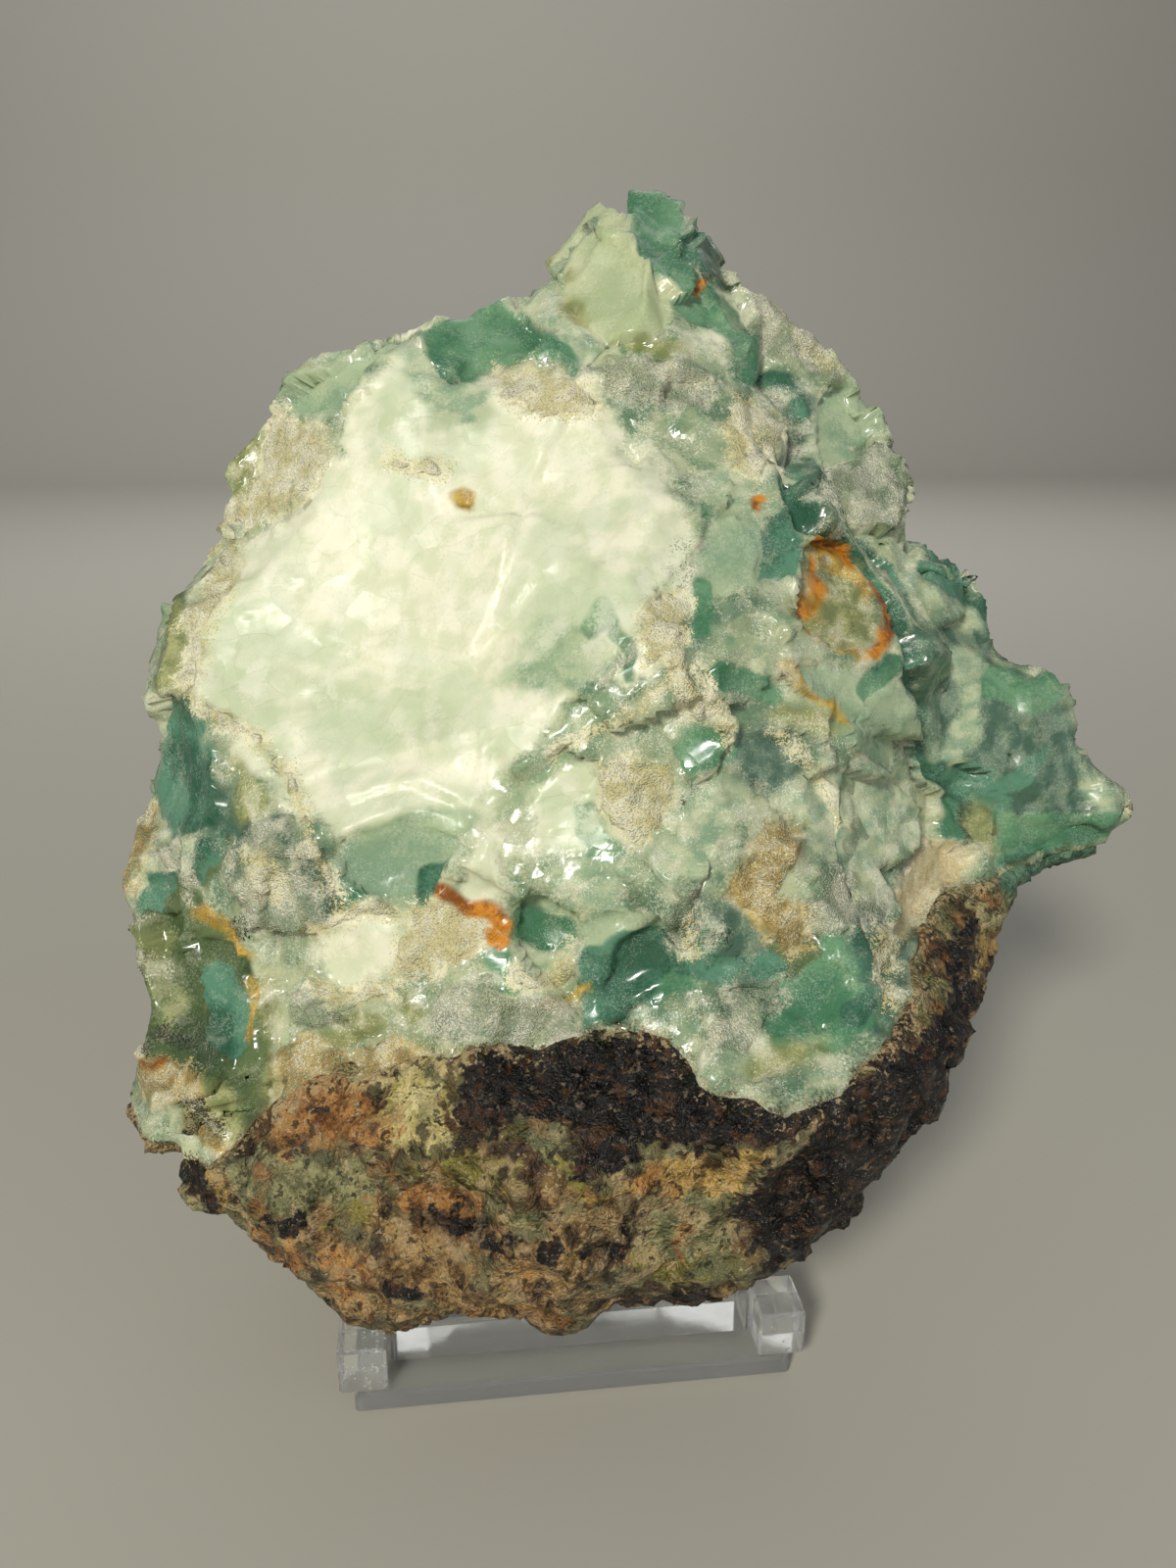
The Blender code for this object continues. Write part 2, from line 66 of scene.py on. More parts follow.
# Patches of the allophane, in pixels of the photograph: a width, and then the x,y of each corner.
# A width of 0 means a closed outline, and any other is the half width of a stroke or a spot.
ALLOPHANE_PATCHES = {
    "pale": (
        (0, 250,560, 300,515, 335,470, 400,470, 470,450, 520,430, 575,432, 640,450, 690,500, 710,560,
         700,620, 650,650, 600,700, 560,750, 500,800, 480,830, 400,840, 340,850, 300,800, 250,745,
         195,705, 205,640, 225,600),
        (0, 340,850, 347,839, 400,815, 448,806, 490,815, 480,850, 400,850),
        (0, 340,450, 372,385, 410,350, 440,365, 450,378, 510,378, 600,392, 640,420, 640,470, 500,480,
         380,490),
        (0, 600,690, 650,640, 700,660, 640,710),
        (0, 540,800, 600,770, 620,800, 640,850, 600,880, 545,870),
        (10, 365,389, 412,400, 418,440, 370,455),
        (9, 700,345, 732,345),
        (6, 727,290, 755,328),
        (0, 482,866, 499,846, 516,887, 521,931, 482,927, 465,907),
        (16, 250,770, 320,830),
        (0, 318,985, 330,950, 368,930, 408,938, 404,985, 370,1004, 330,1004),
    ),
    "mint": (
        (0, 402,346, 438,362, 445,376, 500,390, 515,429, 485,452, 438,440, 418,402),
        (0, 505,304, 541,273, 561,286, 584,323, 611,349, 591,369, 561,349, 531,323),
        (0, 839,404, 866,385, 885,416, 899,423, 893,454, 866,469, 836,489, 824,458, 828,435),
        (0, 604,850, 650,880, 640,930, 565,912, 556,888, 590,880),
        (0, 660,805, 736,800, 760,850, 725,905, 690,925, 655,880),
        (0, 840,770, 930,780, 935,850, 900,885, 840,880, 800,830),
        (0, 759,1023, 800,1000, 851,1023, 840,1080, 780,1095, 750,1070),
        (0, 904,554, 966,607, 1010,640, 962,640, 927,600),
        (0, 340,883, 367,853, 401,836, 448,822, 472,826, 475,839, 462,860, 440,920, 421,931, 380,917,
         353,910),
        (14, 1115,800, 1135,830, 1110,860),
        (10, 785,560, 800,580),
        (12, 742,490, 760,505),
        (20, 560,650, 590,690, 540,690),
        (0, 526,927, 546,907, 583,937, 590,964, 560,981, 556,995, 539,995, 526,954),
        (12, 980,670, 1000,720, 970,780),
    ),
    "green": (
        (0, 633,217, 642,205, 686,207, 702,228, 704,259, 709,282, 702,301, 686,309, 675,290, 663,267,
         648,244),
        (0, 679,309, 713,293, 725,290, 751,320, 778,351, 786,381, 759,381, 744,355, 728,335, 705,328,
         686,320),
        (0, 415,339, 452,319, 472,308, 505,306, 531,323, 561,349, 594,372, 551,376, 505,372, 478,379,
         448,372, 435,356),
        (10, 640,357, 686,358),
        (9, 605,645, 618,620, 634,655, 640,690),
        (10, 717,600, 718,645),
        (14, 740,690, 785,705),
        (8, 725,523),
        (0, 591,824, 610,820, 640,870, 630,885, 600,880),
        (0, 690,765, 700,740, 751,745, 745,793, 700,790),
        (0, 1004,684, 1040,678, 1080,690, 1090,722, 1040,724, 1005,710),
        (12, 968,815, 972,850),
        (0, 492,975, 520,971, 540,1000, 530,1022, 505,1015),
        (0, 770,1020, 840,980, 900,960, 905,1040, 850,1080, 790,1080),
        (0, 1010,830, 1095,830, 1130,850, 1060,905, 1020,910),
        (0, 795,1004, 815,1000, 830,1018, 812,1038, 792,1030),
        (0, 904,1050, 930,1000, 962,996, 955,1040, 915,1065),
        (0, 340,883, 367,914, 350,915, 338,900),
        (12, 1080,880, 1095,840, 1140,840),
        (14, 900,700, 910,680),
        (18, 535,945, 565,955),
        (10, 845,620, 862,640),
        (16, 660,1010, 700,1000, 720,960),
        (22, 860,960, 880,1000),
    ),
    "moss": (
        (0, 130,930, 180,895, 235,945, 262,1000, 282,1060, 278,1130, 238,1170, 190,1130, 150,1070,
         136,1000),
        (0, 702,222, 712,236, 735,262, 752,300, 735,300, 712,282, 700,255),
        (0, 160,700, 158,640, 178,596, 194,600, 190,660, 186,704),
        (0, 786,960, 850,945, 905,960, 902,1030, 850,1050, 800,1010),
        (0, 196,905, 205,860, 228,850, 232,885, 215,915),
        (0, 960,790, 1000,800, 1010,850, 985,870, 960,840),
    ),
    "sage": (
        (0, 278,418, 300,386, 330,370, 352,352, 402,340, 399,358, 374,380, 354,406, 332,426, 306,426),
        (0, 340,885, 364,858, 400,838, 448,826, 470,836, 462,862, 440,918, 415,930, 380,918, 353,908),
        (0, 588,955, 600,938, 637,928, 686,936, 694,960, 650,962, 600,985),
        (0, 805,674, 860,680, 925,690, 930,740, 900,790, 850,745, 815,705),
        (0, 712,580, 724,540, 752,528, 776,540, 776,592, 740,610, 715,605),
        (0, 810,440, 850,395, 885,400, 900,430, 880,470, 835,495),
    ),
    "butter": (
        (0, 558,262, 580,228, 606,210, 630,214, 650,240, 668,265, 674,293, 684,316, 680,340, 650,350,
         621,344, 588,336, 567,303),
    ),
    "beige": (
        (0, 908,940, 912,905, 930,880, 950,854, 966,862, 1000,870, 992,893, 962,923, 935,946, 924,961,
         908,955),
        (0, 418,950, 445,925, 480,936, 517,940, 500,965, 450,985),
    ),
    # Deep blue-green glass: partly the stone's own colour, partly painted shade on the wing, in the
    # cleft and on faces turned from the light.
    "sea_and_shade": (
        (0, 945,560, 990,575, 1020,620, 1010,680, 1090,690, 1110,760, 1150,830, 1100,900, 1030,915,
         1015,830, 950,790, 940,640),
        (0, 855,1060, 850,960, 880,925, 940,950, 960,1000, 940,1060),
        (0, 795,400, 835,400, 860,470, 830,540, 805,480),
        (0, 200,850, 205,780, 240,800, 260,850, 230,890),
        (0, 735,300, 760,320, 790,380, 770,395, 740,350),
        (0, 690,930, 720,1010, 780,1010, 800,980, 770,930, 725,915),
        (0, 745,749, 779,739, 818,749, 842,763, 822,789, 792,806, 762,793, 742,779),
        (0, 430,360, 540,330, 600,370, 500,385),
        (0, 700,590, 720,560, 730,640, 715,660),
        (10, 340,930, 300,870, 290,840),
    ),
    "teal": (
        (0, 702,228, 713,240, 732,263, 736,278, 721,282, 709,267, 704,247),
        (0, 161,718, 188,707, 211,738, 225,762, 222,802, 222,832, 205,849, 174,853, 164,826, 161,785,
         163,745),
        (0, 194,910, 200,870, 222,845, 230,870, 215,905),
        (0, 140,925, 145,890, 165,885, 180,905, 165,930),
        # Painted shade: a dark teal stroke down the top of the cleft.
        (7, 793,374, 812,400, 816,435),
        (0, 204,992, 228,982, 250,1010, 256,1060, 242,1086, 216,1070),
        # Painted shade: a wide dark teal stroke down the cleft between the front mass and the wing.
        (10, 805,481, 813,523, 851,546, 885,573, 912,603, 924,622, 931,649, 935,700, 941,740, 945,785,
         981,806, 1020,822),
        (0, 933,557, 973,559, 1000,577, 1015,607, 1023,622, 1008,638, 1000,619, 966,607, 943,580),
        (0, 583,1019, 591,975, 640,955, 692,958, 692,980, 675,1007, 637,1053, 598,1057),
        (0, 1012,915, 1020,870, 1045,865, 1065,890, 1040,922),
        (0, 424,883, 458,870, 440,925, 428,931),
        (0, 774,588, 778,530, 800,520, 820,560, 810,588),
        (8, 206,557, 206,583),
        (9, 985,790, 1030,800, 1060,770),
        (12, 740,1000, 700,985, 790,985),
        (12, 870,1040, 895,1010, 880,960),
    ),
    "olive": (
        (0, 243,452, 269,442, 266,475, 246,522, 233,522, 236,472),
        (0, 162,705, 160,640, 175,600, 190,600, 190,660, 185,700),
        (6, 568,262, 566,290, 585,325),
        (0, 824,560, 843,552, 880,585, 904,620, 900,650, 860,655, 828,640, 812,622),
        (9, 795,725, 850,745),
        (0, 230,800, 225,762, 260,785, 280,815, 262,830, 238,839),
        (8, 270,1010, 275,1060, 280,1115),
        (0, 190,1130, 205,1110, 250,1125, 240,1180, 215,1170),
        (8, 150,960, 165,1040),
        (12, 1000,830, 1010,860),
        (9, 212,1120, 235,1160),
        (14, 775,1085, 830,1070),
        (7, 640,352, 700,355),
        (11, 335,1062, 372,1046),
        (9, 432,1068, 468,1076),
        (9, 412,1020, 428,1034),
    ),
    "grey": (
        (0, 755,297, 774,291, 805,301, 828,309, 843,335, 857,370, 859,393, 828,381, 809,362, 790,358,
         774,328),
        (0, 832,489, 862,473, 893,458, 916,466, 929,481, 924,515, 912,542, 885,538, 862,542, 836,527,
         824,504),
        (0, 790,404, 805,400, 820,430, 815,470, 795,470, 785,440),
        (0, 598,369, 640,362, 700,372, 740,395, 700,420, 640,415, 610,390),
        (0, 228,870, 240,840, 300,830, 335,870, 340,930, 300,960, 250,940),
        (0, 300,1045, 290,1010, 325,1000, 372,1012, 352,1044),
        (0, 432,1024, 500,990, 522,1030, 500,1060, 452,1062),
        (0, 725,1075, 725,1010, 790,1005, 800,1030, 755,1080),
        (9, 154,850, 175,875, 194,905),
        (8, 128,925, 140,965, 150,995),
        (10, 705,900, 690,960, 735,950),
        (18, 860,905, 830,930, 880,930),
        (9, 986,945, 1020,940, 1055,935),
        (4, 700,560, 690,620, 640,660, 610,700),
        (18, 600,1085, 560,1035, 520,1050),
    ),
    "cream": (
        (0, 273,422, 286,419, 306,432, 332,435, 336,455, 332,472, 306,505, 279,525, 253,538, 236,552,
         234,525, 246,508, 263,482, 266,455),
        (8, 222,570, 215,610, 195,640),
        (7, 235,550, 228,600, 205,650, 185,700),
        (0, 505,376, 598,389, 618,422, 568,429, 518,409),
        (0, 744,481, 740,430, 752,397, 775,402, 784,440, 778,481),
        (5, 808,330, 830,350, 857,372),
        (0, 655,672, 652,625, 670,603, 700,610, 705,650, 690,672),
        (5, 188,707, 245,745, 299,795, 320,839, 326,870),
        (0, 405,960, 420,928, 448,920, 499,937, 509,954, 465,975, 438,1000, 400,990),
        (8, 318,1000, 350,1012, 395,1005),
        (6, 326,950, 365,926, 405,932),
        (0, 522,1012, 524,985, 556,998, 575,972, 583,990, 570,1012),
        (0, 610,782, 648,774, 682,782, 686,808, 667,847, 652,862, 637,847, 617,824),
        (3, 560,772, 600,748, 652,724, 686,690),
        (5, 720,680, 730,715, 735,760),
        (3, 790,750, 840,790, 868,840),
        (5, 908,946, 908,985, 914,1023),
        (4, 702,935, 708,975),
        (0, 672,650, 690,660, 720,705, 716,735, 700,720, 680,690),
        (8, 450,480, 400,472),
        (10, 280,905, 250,870),
        (4, 330,880, 345,930),
        (5, 965,1035, 1035,985, 1060,935),
    ),
    "ochre": (
        (0, 740,912, 763,885, 782,839, 813,839, 805,870, 790,908, 820,931, 824,969, 805,969, 782,954,
         774,931),
        (0, 285,1072, 318,1050, 345,1080, 398,1062, 440,1088, 455,1120, 285,1120),
        (0, 117,900, 130,860, 154,809, 161,839, 150,866, 130,907),
        (0, 137,1115, 135,1085, 160,1073, 195,1085, 208,1115, 180,1130),
        (8, 1000,960, 1010,975),
        (7, 195,1140, 220,1165),
    ),
    # Painted shade: a greenish tint laid on the pale face below its small cliffs and where it turns from
    # the light.
    "painted_shade": (
        (0, 205,640, 262,590, 300,660, 290,760, 225,745, 200,700),
        (0, 300,690, 420,700, 485,715, 470,760, 400,770, 320,765),
        (0, 520,690, 540,600, 640,590, 655,660, 600,700),
        (9, 590,560, 640,600, 690,560),
        (0, 370,400, 440,400, 440,440, 380,460),
        (0, 490,810, 520,770, 590,720, 640,690, 600,770, 540,850),
        (0, 350,850, 400,815, 470,815, 480,850),
        (0, 580,250, 600,225, 640,260, 670,320, 620,335),
        (0, 560,800, 640,800, 640,890, 560,900),
    ),
    "amber": (
        (9, 474,510, 478,512),
        (6, 208,930, 225,945, 235,965, 250,978),
        (4, 256,985, 258,1020, 254,1060),
        (7, 150,1090, 185,1100),
        (7, 995,962, 1010,978),
        (9, 752,905, 775,930, 800,950),
        (6, 265,425, 285,432),
        (5, 480,940, 505,962),
        (12, 838,560, 868,582, 880,600),
        (6, 829,600, 828,640, 850,660, 885,666),
        (6, 802,678, 820,702, 845,718, 868,734),
        (6, 200,1150, 228,1180),
        (6, 960,1040, 985,1010),
        (4, 600,1010, 560,1030),
    ),
    "rust": (
        (8, 836,550, 855,556, 872,574),
        (7, 900,600, 912,628, 906,652, 893,666),
        (4, 828,573, 830,600, 829,625),
        (10, 450,906, 466,914, 480,926, 508,930, 517,944),
        (8, 503,956, 510,962),
        (6, 713,291),
        (6, 775,508, 772,520),
        (6, 150,1085, 165,1082),
    ),
    "dark": (
        (5, 975,950, 978,985, 974,1015),
        (9, 1010,990, 1030,985),
        (3, 136,1070, 150,1066),
        (3, 168,1052, 182,1060),
        (3, 240,938, 246,950),
        (4, 190,1130, 220,1150),
        (1.6, 694,818),
    ),
}

# Patches of the matrix, given in the same way.
MATRIX_PATCHES = {
    "tan": (
        (0, 298,1260, 360,1220, 420,1275, 560,1240, 600,1290, 568,1361, 470,1345, 380,1350, 310,1310),
        (16, 580,1225, 620,1235),
        (12, 330,1225, 390,1230),
    ),
    "grey": (
        (0, 281,1108, 285,1060, 350,1050, 433,1060, 470,1085, 440,1110, 340,1115),
        (0, 240,1225, 235,1180, 270,1165, 330,1185, 400,1190, 380,1230, 290,1250),
        (0, 640,1308, 640,1260, 680,1225, 730,1215, 747,1250, 740,1300, 690,1315),
        (0, 190,1240, 175,1190, 200,1170, 230,1215, 240,1255),
        (14, 545,1160, 575,1170),
        (0, 992,925, 1020,890, 1085,880, 1075,940, 1050,968, 1000,966),
        (14, 650,1190, 700,1195),
    ),
    "cream": (
        (0, 392,1160, 395,1110, 430,1092, 450,1110, 452,1155, 425,1172),
        (8, 285,1070, 300,1100),
        (7, 520,1250, 545,1255),
        (6, 380,1110, 455,1090, 462,1140),
        (8, 790,1240, 800,1245),
    ),
    "ochre": (
        (0, 648,1215, 655,1195, 700,1185, 779,1172, 790,1185, 740,1210, 690,1225),
        (9, 600,1215, 690,1212),
        (0, 990,960, 1030,950, 1030,985, 995,1000),
        (7, 215,1200, 235,1250, 262,1290),
        (9, 450,1235, 440,1222),
    ),
    "olive": (
        (0, 409,1185, 453,1175, 500,1172, 527,1189, 544,1206, 527,1223, 500,1226, 467,1212, 433,1202),
        (14, 650,1290, 720,1300),
        (9, 560,1170, 590,1205),
        (9, 370,1245, 330,1250),
    ),
    "rust": (
        (0, 274,1165, 290,1120, 330,1105, 385,1120, 399,1160, 350,1178, 300,1178),
        (0, 399,1235, 410,1212, 460,1212, 511,1228, 480,1243),
        (8, 665,1217, 672,1220),
        (14, 300,1285, 370,1300),
        (8, 545,1340, 540,1300, 560,1280),
        (10, 820,1170, 850,1160),
        (8, 700,1275, 690,1245),
        (7, 790,1155, 830,1140),
        (7, 250,1280, 262,1262),
    ),
    "black": (
        (0, 463,1141, 494,1077, 561,1060, 588,1060, 636,1060, 669,1060, 710,1074, 760,1104, 782,1129,
         774,1161, 728,1179, 686,1168, 656,1168, 646,1192, 602,1202, 578,1195, 592,1175, 588,1148,
         534,1145, 500,1158, 467,1148),
        (0, 739,1246, 782,1188, 838,1153, 862,1113, 908,1080, 960,1046, 962,945, 984,940, 990,1000,
         1030,1010, 1010,1140, 935,1190, 881,1250, 836,1290, 770,1330, 761,1311, 779,1279, 753,1249),
        (0, 700,1060, 790,1090, 870,1100, 850,1150, 770,1165, 700,1150),
        (8, 1020,990, 1050,975),
        (9, 650,1332, 690,1328, 735,1335),
        (9, 435,1246, 478,1252),
        (8, 400,1312, 425,1322),
        (7, 500,1270, 560,1275),
        (5, 272,1248, 315,1252),
        (11, 185,1190, 215,1225, 225,1245),
        (6, 300,1335, 340,1345),
        (6, 600,1280, 640,1262),
    ),
    "green": (
        (0, 1000,912, 1030,880, 1090,858, 1160,840, 1165,895, 1105,912, 1050,930),
    ),
}

# Places of the outline that move sideways, in pixels: where, by how much, and how far around.
NUDGES = (
    ((1128, 768), (-20, 0), 44),
    ((1137, 822), (20, 0), 34),
    ((1132, 876), (-16, -2), 36),
    ((166, 992), (-26, 0), 64),
)

# Ridges and grooves of the stone, in pixels: half width, height in millimetres, and the line.
RIDGES = (
    (16, -3.2, 782,335, 800,420, 808,485, 820,530, 860,555, 905,595, 932,645, 940,720, 947,790),
    (9, -1.2, 947,790, 985,808, 1022,826, 1020,880),
    (6, 0.8, 524,788, 560,766, 593,743, 662,698, 690,674, 705,663),
    (6, 0.8, 648,447, 676,475, 697,495, 717,537, 703,564, 669,599, 655,619),
    (7, 0.7, 188,707, 245,745, 299,795, 320,839, 330,880),
    (5, -0.9, 560,349, 500,374, 445,376),
    (5, -0.8, 560,280, 585,330, 625,345, 680,345),
    (9, -1.4, 476,511),
    (5, 0.5, 497,760, 490,795, 480,822, 476,850),
    (5, -0.9, 655,862, 690,930, 700,1000),
    (6, -1, 283,1000, 283,1060, 283,1120),
    (9, 0.8, 170,1100),
    (6, 0.6, 200,1150, 215,1165),
    (5, -0.7, 526,930, 590,965, 600,1050),
    (7, -0.9, 900,885, 925,960, 900,1050),
    (4, -0.5, 400,470, 432,488),
    (4, -0.5, 730,500, 755,560, 760,610, 745,650),
)

# Small cliffs, in pixels: how far the height fades out on each side, how much higher the ground
# is on the left of the line than on its right, in millimetres, and the line.
STEPS = (
    (40, -0.8, 573,437, 552,480, 535,516, 512,590, 490,661),
    (35, 0.8, 335,654, 387,678, 438,685, 466,678, 504,695),
    (35, 1, 486,660, 524,623, 541,592, 570,575, 600,585),
    (40, 1.1, 340,850, 352,819, 387,805, 428,802, 466,818, 478,840),
    (30, 0.6, 215,770, 262,790, 300,800, 350,780, 420,770, 490,750),
    (40, 0.9, 640,205, 656,250, 676,300, 682,330),
    (40, 0.9, 702,226, 708,262, 724,284),
    (40, 0.9, 236,556, 280,528, 308,505, 334,470, 336,452),
    (35, 0.8, 415,340, 440,372, 505,374, 560,372, 600,372),
    (45, 1, 510,378, 600,392, 660,415, 700,455),
    (40, 0.9, 735,742, 790,752, 840,792, 872,852, 905,885),
    (40, -0.9, 690,770, 660,850, 690,920, 735,900, 762,820),
    (40, 0.8, 805,676, 836,705, 872,727, 908,746, 934,753),
    (45, -1, 589,972, 640,938, 684,938, 694,960, 668,1005, 612,1058),
    (40, 0.9, 161,715, 163,760, 168,820, 180,853),
    (40, 0.9, 290,955, 340,930, 420,915, 500,935, 515,955),
    (35, 0.8, 740,912, 765,885, 784,839, 813,839),
    (40, 0.9, 908,950, 925,890, 950,855, 1000,868),
    (40, 0.9, 740,1000, 800,985, 870,990, 905,1000),
    (40, -0.8, 1000,690, 1010,760, 1060,800, 1110,860),
    (35, 0.8, 830,490, 880,462, 925,478),
)

# Flat and hollow fracture faces seen on the front: how far the middle is hollowed, in
# millimetres, and the outline.
FACETS = (
    (0.3, 686,852, 709,799, 742,786, 769,796, 759,826, 732,859, 725,885, 712,912, 696,922, 666,882,
     652,869),
    (0.5, 589,972, 639,938, 679,938, 692,952, 689,978, 666,1005, 639,1038, 613,1058, 593,1058, 589,1021),
    (0.6, 525,925, 543,912, 586,932, 586,965, 560,978, 533,962),
    (0.4, 686,769, 696,739, 719,733, 742,753, 732,769, 706,793, 692,799),
    (0.2, 745,749, 779,739, 818,749, 842,763, 822,789, 792,806, 762,793, 742,779),
    (0.1, 822,796, 851,779, 905,799, 934,826, 928,866, 908,885, 855,895, 818,892, 812,852),
    (0.4, 729,673, 762,667, 779,700, 798,720, 752,716, 732,700),
    (0, 805,676, 881,673, 926,683, 934,753, 908,746, 871,726, 835,703),
    (0, 861,736, 934,763, 941,793, 911,796, 871,766),
    (0.1, 490,819, 573,766, 606,779, 613,826, 639,859, 639,885, 593,905, 523,905, 500,856),
    (1, 346,858, 372,836, 415,822, 452,822, 470,836, 462,862, 436,925, 410,925, 372,912, 350,895),
    (0.3, 562,262, 584,230, 606,217, 629,221, 648,244, 665,267, 671,293, 680,316, 676,338, 650,345,
     621,339, 591,332, 571,301),
    (0.5, 640,210, 655,206, 686,207, 702,228, 704,259, 709,282, 702,301, 686,309, 675,290, 663,262,
     650,240),
    (0, 713,242, 735,265, 750,300, 772,340, 760,352, 732,322, 712,285),
    (0.6, 160,712, 188,707, 211,738, 225,762, 222,832, 205,849, 174,853, 164,826),
    (0.2, 826,500, 862,473, 893,458, 916,466, 929,481, 924,515, 912,542, 862,540),
    (0.4, 839,404, 866,385, 885,416, 893,454, 866,469, 836,489, 824,458),
    (0, 284,415, 306,389, 332,376, 352,356, 402,344, 395,356, 372,376, 352,402, 332,422, 306,422),
    (0.2, 273,422, 286,419, 332,435, 336,455, 332,472, 306,505, 279,525, 253,538, 236,552, 234,525),
    (0.2, 908,950, 927,885, 950,854, 966,862, 1000,870, 992,893, 962,923, 924,961),
    (0.3, 824,560, 843,545, 880,575, 912,620, 908,650, 885,664, 850,662, 815,630),
    (0.4, 774,588, 778,530, 800,520, 820,560, 810,588),
    (0.3, 960,700, 1010,690, 1040,740, 1020,790, 965,780),
    (0.3, 1045,700, 1085,700, 1105,760, 1095,810, 1050,800),
    (0.4, 1025,830, 1095,830, 1130,850, 1070,900, 1030,915),
    (0.5, 200,950, 235,965, 258,1010, 270,1080, 240,1100, 215,1050),
    (0.3, 150,930, 190,930, 205,1010, 190,1050, 158,1020),
)

# Bands of ripples that fractures leave in the glassy faces, in pixels: middle, inner and outer
# radius, distance between crests, and height in millimetres.
RIPPLES = (
    ((440, 985), 85, 165, 15, 0.13),
    ((255, 1035), 8, 75, 11, 0.12),
    ((590, 885), 30, 110, 13, 0.13),
    ((575, 690), 20, 70, 8, 0.20),
    ((110, 790), 55, 125, 10, 0.12),
    ((760, 250), 30, 110, 14, 0.10),
    ((880, 520), 50, 130, 12, 0.12),
    ((640, 1090), 30, 150, 17, 0.10),
    ((1100, 640), 40, 240, 24, 0.12),
)


def srgb(red, green, blue):
    """A colour as it is seen, 0 to 255, as the light that a surface gives back."""
    def one(value):
        value /= 255
        return value / 12.92 if value <= 0.04045 else ((value + 0.055) / 1.055) ** 2.4

    return (one(red), one(green), one(blue), 1.0)


def camera_axes():
    ahead = AHEAD / np.linalg.norm(AHEAD)
    right = np.cross(ahead, (0.0, 0.0, 1.0))
    right /= np.linalg.norm(right)
    return right, np.cross(right, ahead), ahead


def in_photo(points):
    """Where points, in millimetres, are seen in the photograph."""
    right, up, ahead = camera_axes()
    off = points - EYE
    depth = off @ ahead
    x = PHOTO[0] / 2 + FOCAL_PX * (off @ right) / depth
    y = PHOTO[1] / 2 - FOCAL_PX * (off @ up) / depth
    return np.column_stack((x, y))


def nudged(points):
    """The points moved sideways, as seen in the photograph, where the outline has to follow it."""
    right, up, ahead = camera_axes()
    seen = in_photo(points)
    moves = np.zeros(points.shape)
    for place, (across, down), around in NUDGES:
        near = np.hypot(*(seen - np.array(place, float)).T)
        moves += smooth(around, 0, near)[:, None] * (right * across - up * down)
    return points + moves * ((points - EYE) @ ahead / FOCAL_PX)[:, None]


def corners_of(row):
    """The corners in a row of numbers, x and y in turn."""
    return np.array(row, float).reshape(-1, 2)


def to_line(seen, corners, closed=False):
    """How far each point is from a line through corners, in pixels, and -1 on its right, else 1."""
    if len(corners) == 1:
        return np.hypot(*(seen - corners[0]).T), np.ones(len(seen))
    nearest = np.full(len(seen), np.inf)
    side = np.ones(len(seen))
    ends = np.roll(corners, -1, axis=0) if closed else corners[1:]
    for start, end in zip(corners, ends):
        along = end - start
        from_start = seen - start
        part = np.clip(from_start @ along / (along @ along), 0, 1)
        off = from_start - part[:, None] * along
        far = np.hypot(off[:, 0], off[:, 1])
        closer = far < nearest
        nearest[closer] = far[closer]
        turned = along[0] * from_start[:, 1] - along[1] * from_start[:, 0]
        side[closer] = np.where(turned[closer] > 0, -1.0, 1.0)
    return nearest, side


def within(seen, corners):
    """Whether each point is inside a closed outline."""
    inside = np.zeros(len(seen), bool)
    x, y = seen[:, 0], seen[:, 1]
    for (x0, y0), (x1, y1) in zip(corners, np.roll(corners, -1, axis=0)):
        if y0 == y1:
            continue
        crosses = (y0 > y) != (y1 > y)
        inside ^= crosses & (x < (x1 - x0) * (y - y0) / (y1 - y0) + x0)
    return inside


def patch_depth(seen, patches):
    """How deep each point lies inside the nearest patch, in millimetres; less than 0 outside."""
    deepest = np.full(len(seen), -FAR)
    for width, *row in patches:
        corners = corners_of(row)
        if width:
            depth = width - to_line(seen, corners)[0]
        else:
            edge = to_line(seen, corners, True)[0]
            depth = np.where(within(seen, corners), edge, -edge)
        deepest = np.maximum(deepest, depth)
    return deepest * PX_TO_MM


def smooth(low, high, value):
    part = np.clip((value - low) / (high - low), 0, 1)
    return part * part * (3 - 2 * part)


def noise_at(points, size, seed):
    """Noise of about -1 to 1 whose lumps are a size in millimetres."""
    shift = Vector((seed * 7.3, seed * 3.1, seed * 5.7))
    return np.array([noise.noise(Vector(p) / size + shift) for p in points])


def fractal_at(points, size, seed, octaves=4):
    shift = Vector((seed * 7.3, seed * 3.1, seed * 5.7))
    return np.array([noise.fractal(Vector(p) / size + shift, 0.9, 2.1, octaves) for p in points])


